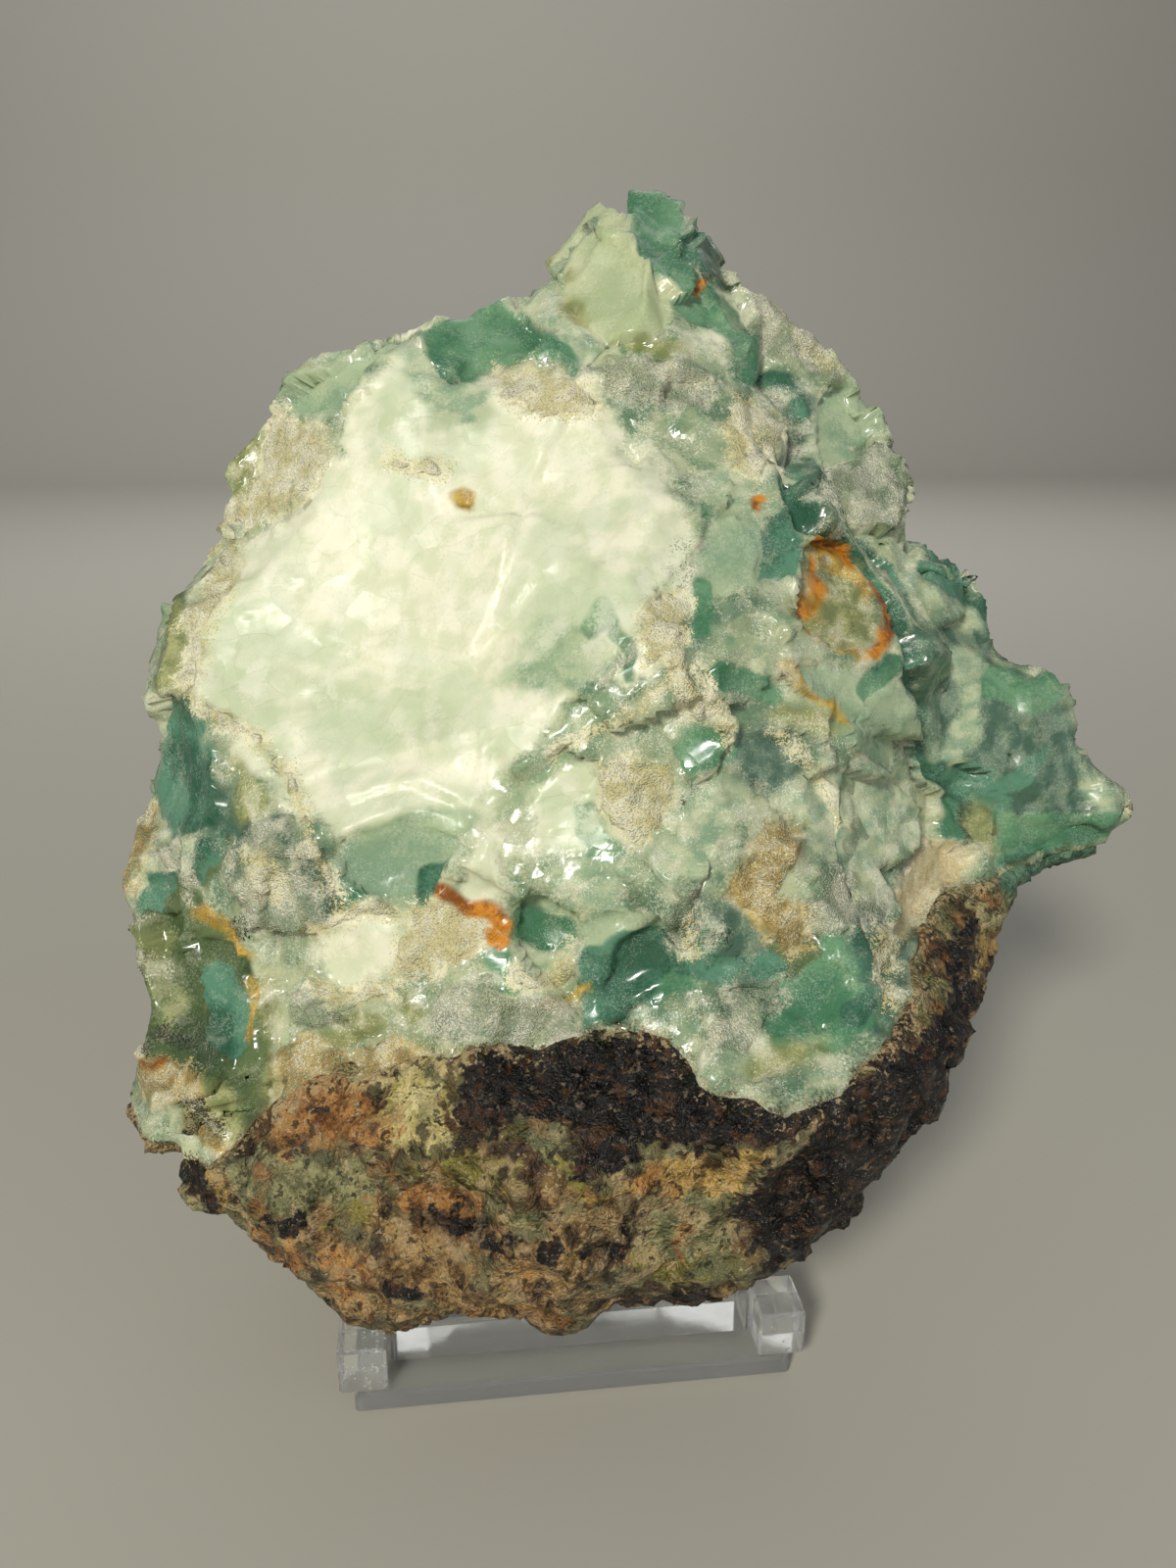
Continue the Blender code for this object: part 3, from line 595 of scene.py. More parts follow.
class Cells:
    """A surface parted among random middles, as a broken stone is parted among its fractures."""

    def __init__(self, points, count, seed, waver, waver_size):
        self.rng = np.random.default_rng(seed)
        middles = points[self.rng.choice(len(points), count, replace=False)]
        tree = kdtree.KDTree(count)
        for number, middle in enumerate(middles):
            tree.insert(middle, number)
        tree.balance()
        bent = points + waver * np.column_stack(
            [noise_at(points, waver_size, seed + turn) for turn in (1, 2, 3)]
        )
        found = [tree.find_n(place, 2) for place in bent]
        self.cell = np.array([two[0][1] for two in found])
        near = np.array([two[0][2] for two in found])
        self.border = (np.array([two[1][2] for two in found]) - near) / 2
        self.count = count

    def join(self, chosen):
        """Makes the chosen points, a mask, one more cell."""
        self.cell[chosen] = self.count
        self.count += 1

    def each(self, low, high):
        """A number at random for each cell, given to all its points."""
        return self.rng.uniform(low, high, self.count)[self.cell]

    def means(self, *columns):
        """The mean of each column over each cell."""
        size = np.maximum(np.bincount(self.cell, minlength=self.count), 1)
        return np.column_stack([np.bincount(self.cell, one, self.count) / size for one in columns])

    def to_planes(self, points, normals, lean):
        """How far each point is from its cell's own plane, tilted at random by about a lean."""
        middle = self.means(*points.T)
        facing = self.means(*normals.T)
        facing += self.rng.normal(size=facing.shape) * lean
        facing /= np.linalg.norm(facing, axis=1)[:, None]
        off = np.einsum("ij,ij->i", points - middle[self.cell], facing[self.cell])
        along = np.einsum("ij,ij->i", normals, facing[self.cell])
        return off * smooth(0.5, 0.85, along)

    def domes(self, points, low, high):
        """A dome or a hollow on each cell, of a random height, down to 0 at its edge."""
        height = self.each(low, high)
        far = np.linalg.norm(points - self.means(*points.T)[self.cell], axis=1)
        part = far / (1.5 * self.means(far)[self.cell, 0] + 1e-6)
        return height * (1 - np.clip(part, 0, 1) ** 2)


def made_object(name, shape):
    """A new object from a bmesh, which isn't needed any more after this."""
    mesh = bpy.data.meshes.new(name)
    shape.to_mesh(mesh)
    shape.free()
    piece = bpy.data.objects.new(name, mesh)
    bpy.context.scene.collection.objects.link(piece)
    return piece


def remeshed(node, name):
    """A fine, even mesh of a node's solid, with its flat facets smoothed away."""
    rock = bmesh.new()
    rock.from_mesh(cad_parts[node].data)
    bmesh.ops.remove_doubles(rock, verts=rock.verts[:], dist=1e-6)
    piece = made_object(name, rock)
    even = piece.modifiers.new("Even mesh", "REMESH")
    even.mode = "VOXEL"
    even.voxel_size = VOXEL * MM
    even.use_smooth_shade = True
    soft = piece.modifiers.new("Facets away", "SMOOTH")
    soft.factor = 0.5
    soft.iterations = 7
    graph = bpy.context.evaluated_depsgraph_get()
    fine = bpy.data.meshes.new_from_object(piece.evaluated_get(graph))
    piece.modifiers.clear()
    piece.data = fine
    fine.name = name
    places = nudged(points_and_normals(fine)[0])
    fine.vertices.foreach_set("co", (places * MM).ravel())
    fine.update()
    return piece


def points_and_normals(mesh):
    count = len(mesh.vertices)
    points = np.empty(count * 3)
    normals = np.empty(count * 3)
    mesh.vertices.foreach_get("co", points)
    mesh.vertices.foreach_get("normal", normals)
    return points.reshape(-1, 3) / MM, normals.reshape(-1, 3)


def frontness(points, normals):
    """1 where the surface faces the photograph's camera, 0 where it faces away."""
    to_eye = EYE - points
    to_eye /= np.linalg.norm(to_eye, axis=1)[:, None]
    return smooth(-0.3, -0.02, np.einsum("ij,ij->i", normals, to_eye))


def finish_depths(points, seen, front, patches, spread, cover):
    """Each finish's depth: as drawn on the front, and at random on the sides and the back."""
    depths = {}
    for number, (finish, shapes) in enumerate(patches.items()):
        drawn = patch_depth(seen, shapes)
        loose = fractal_at(points, spread, 40 + number) * spread * 0.5 - cover[finish]
        depths[finish] = drawn * front + loose * (1 - front)
    return depths


def keep_vectors(mesh, name, *columns):
    """Keeps up to three values of each point on the mesh, for a material to read."""
    kept = np.zeros((len(mesh.vertices), 3), np.float32)
    for number, column in enumerate(columns):
        kept[:, number] = column
    mesh.attributes.new(name, "FLOAT_VECTOR", "POINT").data.foreach_set("vector", kept.ravel())


def keep_depths(mesh, name, depths, *finishes):
    keep_vectors(mesh, name, *(depths[finish] for finish in finishes))


def keep_clouds(mesh, name, points, detail, rows):
    """Broad noises from about 0 to 1: size in millimetres, seed and stretch of each."""
    keep_vectors(mesh, name, *(
        0.5 + 0.32 * fractal_at(points * stretch, size, seed, detail) for size, seed, stretch in rows
    ))


def to_neighbour(points, neighbour):
    """How far each point is from the other stone, in millimetres."""
    other = points_and_normals(neighbour)[0]
    tree = kdtree.KDTree(len(other))
    for number, place in enumerate(other):
        tree.insert(place, number)
    tree.balance()
    return np.array([tree.find(place)[2] for place in points])


def relief(seen, front):
    """Ridges, grooves and cliffs drawn on the front."""
    height = np.zeros(len(seen))
    for width, rise, *row in RIDGES:
        off = to_line(seen, corners_of(row))[0]
        height += rise * np.clip(1 - off / width, 0, 1) ** 1.3
    for reach, rise, *row in STEPS:
        off, side = to_line(seen, corners_of(row))
        height += rise / 2 * side * np.exp(-off / reach * 2.2) * np.clip(off / 3, 0, 1)
    return height * front


def ripples(seen, front):
    height = np.zeros(len(seen))
    for middle, inner, outer, gap, rise in RIPPLES:
        off = np.hypot(*(seen - np.array(middle, float)).T)
        fade = smooth(inner, inner + gap, off) * (1 - smooth(outer - gap, outer, off))
        height += rise * fade * np.sin(off / gap * 2 * math.pi)
    return height * front


def join_facets(cells, seen, front):
    """Makes each drawn fracture face one cell.

    It gives back how far each point is hollowed, and how far it is from the nearest outline.
    """
    hollow = np.zeros(len(seen))
    nearest = np.full(len(seen), FAR)
    for depth, *row in FACETS:
        outline = corners_of(row)
        chosen = within(seen, outline) & (front > 0.6)
        if not chosen.any():
            continue
        cells.join(chosen)
        inner = to_line(seen, outline, True)[0]
        bowl = np.clip(inner / inner[chosen].max(), 0, 1)
        hollow[chosen] -= depth * (bowl * (2 - bowl))[chosen]
        nearest = np.minimum(nearest, inner * PX_TO_MM)
    return hollow, nearest * front + FAR * (1 - front)


def wandering(seen, points, broad, fine):
    """Places in the photograph moved about a little, so that drawn lines run unevenly."""
    moves = [
        noise_at(points, 7.0, 60 + turn) * broad + noise_at(points, 2.3, 63 + turn) * fine
        for turn in (0, 1)
    ]
    return seen + np.column_stack(moves)


def sculpt_allophane(piece, neighbour):
    mesh = piece.data
    points, normals = points_and_normals(mesh)
    rim = to_neighbour(points, neighbour)
    front = frontness(points, normals)
    seen = in_photo(points)
    # How rare each finish is on the sides and the back: the higher, the rarer.
    cover = {
        "pale": 3.0, "mint": 1.0, "green": 2.4, "teal": 3.2, "olive": 4.0, "grey": 1.2,
        "cream": 3.0, "ochre": 5.5, "rust": 6.5, "dark": 9.0, "painted_shade": 2.0, "amber": 6.0, "sea_and_shade": 1.2,
        "sage": 1.6, "butter": 4.0, "beige": 5.0, "moss": 2.6,
    }
    depths = finish_depths(points, wandering(seen, points, 8, 6), front, ALLOPHANE_PATCHES,
                           16.0, cover)
    wobble = noise_at(points, 2.4, 3) * 0.9 + noise_at(points, 1.1, 4) * 0.5
    crust = np.maximum.reduce([depths[n] for n in ("grey", "cream", "ochre")]) + wobble
    crust = smooth(-0.8, 1.0, crust)
    glass = np.maximum.reduce([depths[n] for n in (
        "pale", "green", "teal", "sage", "butter", "moss", "sea_and_shade")])
    glass = np.maximum(smooth(-1.5, 1.0, glass), 0.5) * (1 - crust)
    pale = smooth(-1.0, 2.0, depths["pale"])

    line = wandering(seen, points, 3, 2)
    big = Cells(points, count=300, seed=5, waver=0.5, waver_size=8.0)
    hollow, outlines = join_facets(big, line, front)
    small = Cells(points, count=1900, seed=6, waver=0.6, waver_size=3.0)
    tiny = Cells(points, count=15000, seed=7, waver=0.25, waver_size=2.0)
    # The pale face keeps its form, and glassy faces aren't broken small.
    calm = 1 - 0.75 * pale
    rough = 1 - 0.8 * glass
    height = -1.0 * np.clip(big.to_planes(points, normals, 0.1), -2.0, 2.0) * calm
    height -= big.domes(points, -0.1, 0.4) * calm
    height -= small.to_planes(points, normals, 0.13) * 0.6 * rough
    height -= tiny.to_planes(points, normals, 0.2) * 0.5 * crust
    height += hollow
    height += crust * (0.25 + 0.12 * noise_at(points, 1.6, 8) + 0.2 * noise_at(points, 3.6, 9))
    height += 0.2 * noise_at(points, 9.0, 11)
    height += relief(line, front) + ripples(line, front) * glass
    height = height * smooth(0.0, 3.0, rim) + 0.2 * (1 - smooth(0.3, 2.2, rim))
    moved = points + normals * height[:, None]
    mesh.vertices.foreach_set("co", (moved * MM).ravel())
    mesh.update()
    keep_depths(mesh, "finish_a", depths, "pale", "mint", "green")
    keep_depths(mesh, "finish_b", depths, "teal", "olive", "grey")
    keep_depths(mesh, "finish_c", depths, "cream", "ochre", "rust")
    edges = np.minimum(np.minimum(big.border, small.border * 1.6), outlines)
    keep_vectors(mesh, "finish_d", depths["dark"], edges, glass)
    # The tones of broken faces differ less on the front, where the finishes are drawn.
    even = 1 - 0.5 * front
    tones = [0.5 + (cells.each(0, 1) - 0.5) * even for cells in (big, small)]
    keep_vectors(mesh, "finish_f", depths["sea_and_shade"], *tones)
    keep_depths(mesh, "finish_g", depths, "sage", "butter", "beige")
    keep_depths(mesh, "finish_h", depths, "moss")
    keep_vectors(mesh, "finish_e", depths["painted_shade"], depths["amber"], rim)
    keep_clouds(mesh, "clouds", points, 3, (
        (6.0, 70, 1.0), (3.0, 71, 1.0), (3.0, 72, (1.0, 0.6, 2.2))))
    keep_clouds(mesh, "blooms", points, 4, (
        (12.0, 73, 1.0), (3.6, 74, (1.0, 0.7, 0.6)), (9.0, 75, (1.0, 0.8, 1.4))))


def sculpt_matrix(piece, neighbour):
    mesh = piece.data
    points, normals = points_and_normals(mesh)
    rim = to_neighbour(points, neighbour)
    front = frontness(points, normals)
    seen = in_photo(points)
    cover = {
        "tan": 0.6, "grey": 2.2, "cream": 4.0, "ochre": 3.4, "olive": 4.2, "rust": 2.0,
        "black": 0.8, "green": 12.0,
    }
    depths = finish_depths(points, wandering(seen, points, 12, 9), front, MATRIX_PATCHES,
                           12.0, cover)
    big = Cells(points, count=800, seed=15, waver=0.8, waver_size=4.0)
    small = Cells(points, count=4200, seed=16, waver=0.5, waver_size=2.0)
    tiny = Cells(points, count=14000, seed=17, waver=0.2, waver_size=2.0)
    height = -0.7 * big.to_planes(points, normals, 0.16)
    height += big.domes(points, -0.5, 0.7)
    height -= 0.6 * small.to_planes(points, normals, 0.3)
    height += small.domes(points, -0.25, 0.35)
    height -= 0.35 * tiny.to_planes(points, normals, 0.3)
    height += 0.5 * noise_at(points, 5.5, 17) + 0.2 * noise_at(points, 2.0, 18)
    height = height * smooth(0.0, 2.0, rim) + 1.0 * (1 - smooth(0.3, 2.6, rim))
    moved = points + normals * height[:, None]
    mesh.vertices.foreach_set("co", (moved * MM).ravel())
    mesh.update()
    keep_depths(mesh, "finish_a", depths, "tan", "grey", "cream")
    keep_depths(mesh, "finish_b", depths, "ochre", "olive", "rust")
    keep_vectors(mesh, "finish_c", depths["black"], rim, small.each(0, 1))
    keep_depths(mesh, "finish_d", depths, "green")


class Nodes:
    """A short way to lay out a material's nodes."""

    def __init__(self, name):
        self.material = bpy.data.materials.new(name)
        self.material.use_nodes = True
        self.tree = self.material.node_tree
        self.shader = self.tree.nodes["Principled BSDF"]
        self.place = self.add("ShaderNodeTexCoord").outputs["Object"]

    def add(self, kind, **settings):
        made = self.tree.nodes.new(kind)
        for name, value in settings.items():
            setattr(made, name, value)
        return made

    def feed(self, socket, value):
        if isinstance(value, bpy.types.NodeSocket):
            self.tree.links.new(value, socket)
        else:
            socket.default_value = value

    def maths(self, operation, first, second=0.0, third=0.0):
        made = self.add("ShaderNodeMath", operation=operation)
        for socket, value in zip(made.inputs, (first, second, third)):
            self.feed(socket, value)
        return made.outputs[0]

    def give(self, name, value):
        """Sets an input of the shader, or links it."""
        self.feed(self.shader.inputs[name], value)

    def texture(self, kind, size, place, detail=None):
        """A texture whose lumps or cells are a size in millimetres."""
        made = self.add(kind)
        made.inputs["Scale"].default_value = 1 / (size * MM)
        if detail is not None:
            made.inputs["Detail"].default_value = detail
        self.feed(made.inputs["Vector"], place)
        return made.outputs

    def vectors(self, operation, *values):
        made = self.add("ShaderNodeVectorMath", operation=operation)
        for socket, value in zip(made.inputs, values):
            self.feed(socket, value)
        return made.outputs

    def times(self, first, second):
        return self.maths("MULTIPLY", first, second)

    def plus(self, first, second):
        return self.maths("ADD", first, second)

    def less(self, first, second):
        return self.maths("SUBTRACT", first, second)

    def most(self, first, second):
        return self.maths("MAXIMUM", first, second)

    def scaled(self, value, factor, more):
        """A value times a factor, and something more."""
        return self.maths("MULTIPLY_ADD", value, factor, more)

    def grain(self, size, detail=3.0, shift=0.0, stretch=(1.0, 1.0, 1.0)):
        """Noise whose lumps are a size in millimetres, from 0 to 1."""
        mapping = self.add("ShaderNodeMapping")
        mapping.inputs["Location"].default_value = (shift, shift * 0.7, shift * 1.3)
        mapping.inputs["Scale"].default_value = stretch
        self.feed(mapping.inputs["Vector"], self.place)
        return self.texture("ShaderNodeTexNoise", size, mapping.outputs[0], detail)["Fac"]

    def fade(self, value, low, high, start=0.0, end=1.0):
        made = self.add("ShaderNodeMapRange", interpolation_type="SMOOTHSTEP")
        for socket, given in zip(made.inputs, (value, low, high, start, end)):
            self.feed(socket, given)
        return made.outputs[0]

    def mix(self, part, first, second, blend="MIX"):
        made = self.add("ShaderNodeMix", data_type="RGBA", blend_type=blend)
        self.feed(made.inputs[0], part)
        self.feed(made.inputs[6], first)
        self.feed(made.inputs[7], second)
        return made.outputs[2]

    def vector(self, name):
        made = self.add("ShaderNodeAttribute", attribute_name=name)
        apart = self.add("ShaderNodeSeparateXYZ")
        self.feed(apart.inputs[0], made.outputs["Vector"])
        return list(apart.outputs)

    def waver(self, depth, pattern, amount):
        """A depth moved up and down by a pattern, so that a patch's edge wanders."""
        return self.plus(depth, self.scaled(pattern, amount, -amount / 2))

    def powder(self, coarse, fine):
        """Grains for settle: an even spread of numbers from 0 to 1."""
        both = self.scaled(coarse, 0.6, self.times(fine, 0.4))
        return self.fade(both, 0.36, 0.64)

    def settle(self, powder, cover):
        """Grains lying where the cover, from 0 to 1, is enough for them."""
        return self.fade(self.less(cover, powder), 0.0, 0.12)

    def bent_place(self, size, amount):
        """The place moved about by a smooth noise, by up to half an amount in millimetres."""
        bent = self.texture("ShaderNodeTexNoise", size, self.place, 1.0)["Color"]
        return self.vectors("MULTIPLY_ADD", bent, (amount * MM,) * 3, self.place)[0]

    def chips(self, place, size):
        """Flat chips of a size in millimetres, each tilted its own way, as a height in metres."""
        cells = self.texture("ShaderNodeTexVoronoi", size, place)
        off = self.vectors("SUBTRACT", place, cells["Position"])[0]
        way = self.vectors("SUBTRACT", cells["Color"], (0.5, 0.5, 0.5))[0]
        return self.vectors("DOT_PRODUCT", off, way)["Value"]

    def bump(self, height):
        """A bump of a height in metres."""
        made = self.add("ShaderNodeBump")
        made.inputs["Strength"].default_value = 1.0
        made.inputs["Distance"].default_value = 1.0
        self.feed(made.inputs["Height"], height)
        return made.outputs[0]


def allophane_material():
    made = Nodes("allophane waxy to glassy")
    pale, mint, green = made.vector("finish_a")
    teal, olive, grey = made.vector("finish_b")
    cream, ochre, rust = made.vector("finish_c")
    dark, edges, glass = made.vector("finish_d")
    painted_shade, amber, rim = made.vector("finish_e")
    sea_and_shade, tone, small_tone = made.vector("finish_f")
    sage, butter, beige = made.vector("finish_g")
    moss = made.vector("finish_h")[0]
    fine = made.grain(0.42, 2.0, 2.3)
    speck = made.grain(0.2, 0.0, 3.1)
    ripple = made.scaled(fine, 0.3, -0.15)
    cloud, medium, streak = (made.plus(part, ripple) for part in made.vector("clouds"))
    broad, wisp, bloom = (made.plus(part, ripple) for part in made.vector("blooms"))
    powder = made.powder(fine, speck)
    stiff = made.less(1.0, made.times(glass, 0.8))
    bare = made.fade(glass, 0.95, 0.6)

    colour = made.mix(made.fade(cloud, 0.38, 0.56), srgb(100, 130, 98), srgb(156, 170, 132))
    colour = made.mix(made.fade(broad, 0.46, 0.66), colour, srgb(190, 196, 156))
    colour = made.mix(made.fade(streak, 0.54, 0.68, 0.0, 0.6), colour, srgb(116, 150, 116))

    shift = made.plus(tone, made.times(small_tone, 0.5))
    colour = made.mix(made.fade(shift, 0.85, 1.3, 0.0, 0.7), colour, srgb(200, 205, 168))
    colour = made.mix(made.fade(shift, 0.65, 0.2, 0.0, 0.75), colour, srgb(88, 122, 94))

    # Body colours pass into each other like clouds; glassy windows have a cleaner edge. Each row
    # gives how far the edge wavers and how soft it is, in millimetres, and two colours to mottle.
    bodies = (
        # The first row is partly painted shade: its dark blue-green also stands for the shadow on the
        # wing and in the cleft.
        (sea_and_shade, cloud, 5.0, 1.2, srgb(70, 102, 82), srgb(112, 137, 112), medium),
        (pale, cloud, 5.0, 1.2, srgb(222, 226, 190), srgb(241, 239, 210), medium),
        (mint, cloud, 5.0, 1.2, srgb(142, 168, 134), srgb(188, 198, 160), streak),
        (moss, cloud, 2.0, 0.6, srgb(56, 78, 46), srgb(96, 114, 70), bloom),
        (sage, cloud, 2.5, 0.6, srgb(134, 162, 130), srgb(174, 190, 152), bloom),
        (butter, cloud, 1.5, 0.4, srgb(176, 188, 140), srgb(206, 210, 168), bloom),
        (green, cloud, 2.0, 0.4, srgb(68, 120, 86), srgb(112, 156, 116), bloom),
        (teal, cloud, 1.2, 0.3, srgb(46, 92, 68), srgb(92, 140, 112), bloom),
        (olive, cloud, 6.0, 1.4, srgb(126, 134, 82), srgb(166, 168, 108), medium),
        (amber, medium, 2.4, 0.6, srgb(158, 126, 40), srgb(206, 172, 64), streak),
        (beige, medium, 1.2, 0.3, srgb(190, 172, 124), srgb(218, 202, 156), fine),
    )
    for depth, pattern, waver, soft, first, second, mottle in bodies:
        mask = made.fade(made.waver(depth, pattern, waver), -soft, soft)
        colour = made.mix(mask, colour, made.mix(made.fade(mottle, 0.34, 0.66), first, second))
    # Painted shade: a greenish tint darkens the pale face below its cliffs and where it turns from the
    # light.
    tint = made.fade(made.waver(painted_shade, streak, 10.0), -3.0, 3.0, 0.0, 0.42)
    colour = made.mix(tint, colour, srgb(172, 192, 148))
    whole = made.fade(pale, 0.0, 3.0)
    wisp = made.fade(wisp, 0.5, 0.66, 0.0, 0.4)
    colour = made.mix(made.times(wisp, whole), colour, srgb(248, 247, 226))
    bloom = made.fade(bloom, 0.5, 0.62, 0.0, 0.5)
    colour = made.mix(made.times(bloom, whole), colour, srgb(204, 217, 180))
    milk = made.times(made.fade(medium, 0.5, 0.68), made.fade(broad, 0.4, 0.6))
    milk = made.times(milk, made.times(bare, 0.35))
    colour = made.mix(milk, colour, srgb(206, 216, 190))

    # Crusts are powdery: full inside, and thinning to scattered grains past their edges.
    crusts = (
        (grey, 7.0, 0.62, srgb(150, 160, 134), srgb(204, 204, 176)),
        (cream, 3.0, 0.97, srgb(216, 206, 152), srgb(240, 234, 194)),
        (ochre, 3.0, 0.97, srgb(164, 140, 82), srgb(214, 192, 126)),
        (dark, 2.0, 0.95, srgb(24, 20, 18), srgb(66, 54, 40)),
    )
    crust = made.fade(rim, 0.6, 2.6, 1.0, 0.0)
    crust = made.settle(powder, made.times(crust, 0.8))
    earth = made.mix(made.fade(medium, 0.42, 0.58), srgb(96, 78, 52), srgb(184, 176, 134))
    colour = made.mix(crust, colour, earth)
    for depth, waver, full, first, second in crusts:
        cover = made.fade(made.waver(depth, medium, waver), -1.8, 1.0, 0.0, full)
        mask = made.settle(powder, cover)
        colour = made.mix(mask, colour, made.mix(made.fade(medium, 0.38, 0.62), first, second))
        crust = made.most(crust, mask)

    # A thin dust lies all over the broken faces, and thicker along their edges.
    seam = made.fade(edges, 0.05, 0.6, 0.26, 0.0)
    dust = made.plus(made.fade(medium, 0.52, 0.7, 0.0, 0.24), seam)
    dust = made.times(made.settle(powder, made.times(dust, bare)), 0.6)
    colour = made.mix(dust, colour, srgb(220, 214, 180))
    hairline = made.times(made.fade(edges, 0.04, 0.3, 0.6, 0.0), stiff)
    hairline = made.times(hairline, made.fade(medium, 0.4, 0.55))
    colour = made.mix(hairline, colour, srgb(226, 223, 190))
    vein = made.fade(made.waver(rust, medium, 1.5), -0.6, 0.6)
    iron = made.mix(made.fade(medium, 0.4, 0.6), srgb(138, 78, 18), srgb(214, 140, 38))
    colour = made.mix(vein, colour, iron)
    crust = made.most(crust, dust)
    pits = made.times(made.fade(speck, 0.36, 0.28), crust)
    colour = made.mix(made.times(pits, 0.4), colour, srgb(120, 112, 78))
    # Painted highlights: bright specks put into the colour stand in for glints of light.
    painted_glints = made.settle(made.less(1.0, made.powder(speck, speck)), 0.11)
    painted_glints = made.times(painted_glints, made.fade(medium, 0.4, 0.6, 0.1, 0.9))
    painted_glints = made.times(painted_glints, made.less(stiff, vein))
    colour = made.mix(painted_glints, colour, srgb(244, 243, 226))
    made.give("Base Color", colour)

    waxy = made.fade(pale, -0.5, 1.5, 0.0, 0.14)
    rough = made.scaled(crust, 0.46, made.plus(waxy, 0.19))
    rough = made.scaled(made.fade(medium, 0.4, 0.7), 0.16, rough)
    made.give("Roughness", rough)
    made.give("IOR", 1.48)
    made.give("Subsurface Weight", 0.2)
    made.give("Subsurface Radius", (0.8, 1.0, 0.7))
    made.give("Subsurface Scale", 2.0 * MM)

    loose = made.fade(glass, 0.45, 0.05, 0.0, 1.0)
    bent = made.bent_place(3.5, 2.4)
    faces = made.times(made.chips(bent, 4.6), 0.7)
    grains = made.times(made.chips(bent, 1.3), 0.3)
    grains = made.scaled(made.plus(fine, speck), 0.35 * MM, grains)
    height = made.scaled(grains, loose, made.times(faces, stiff))
    made.give("Normal", made.bump(height))
    return made.material


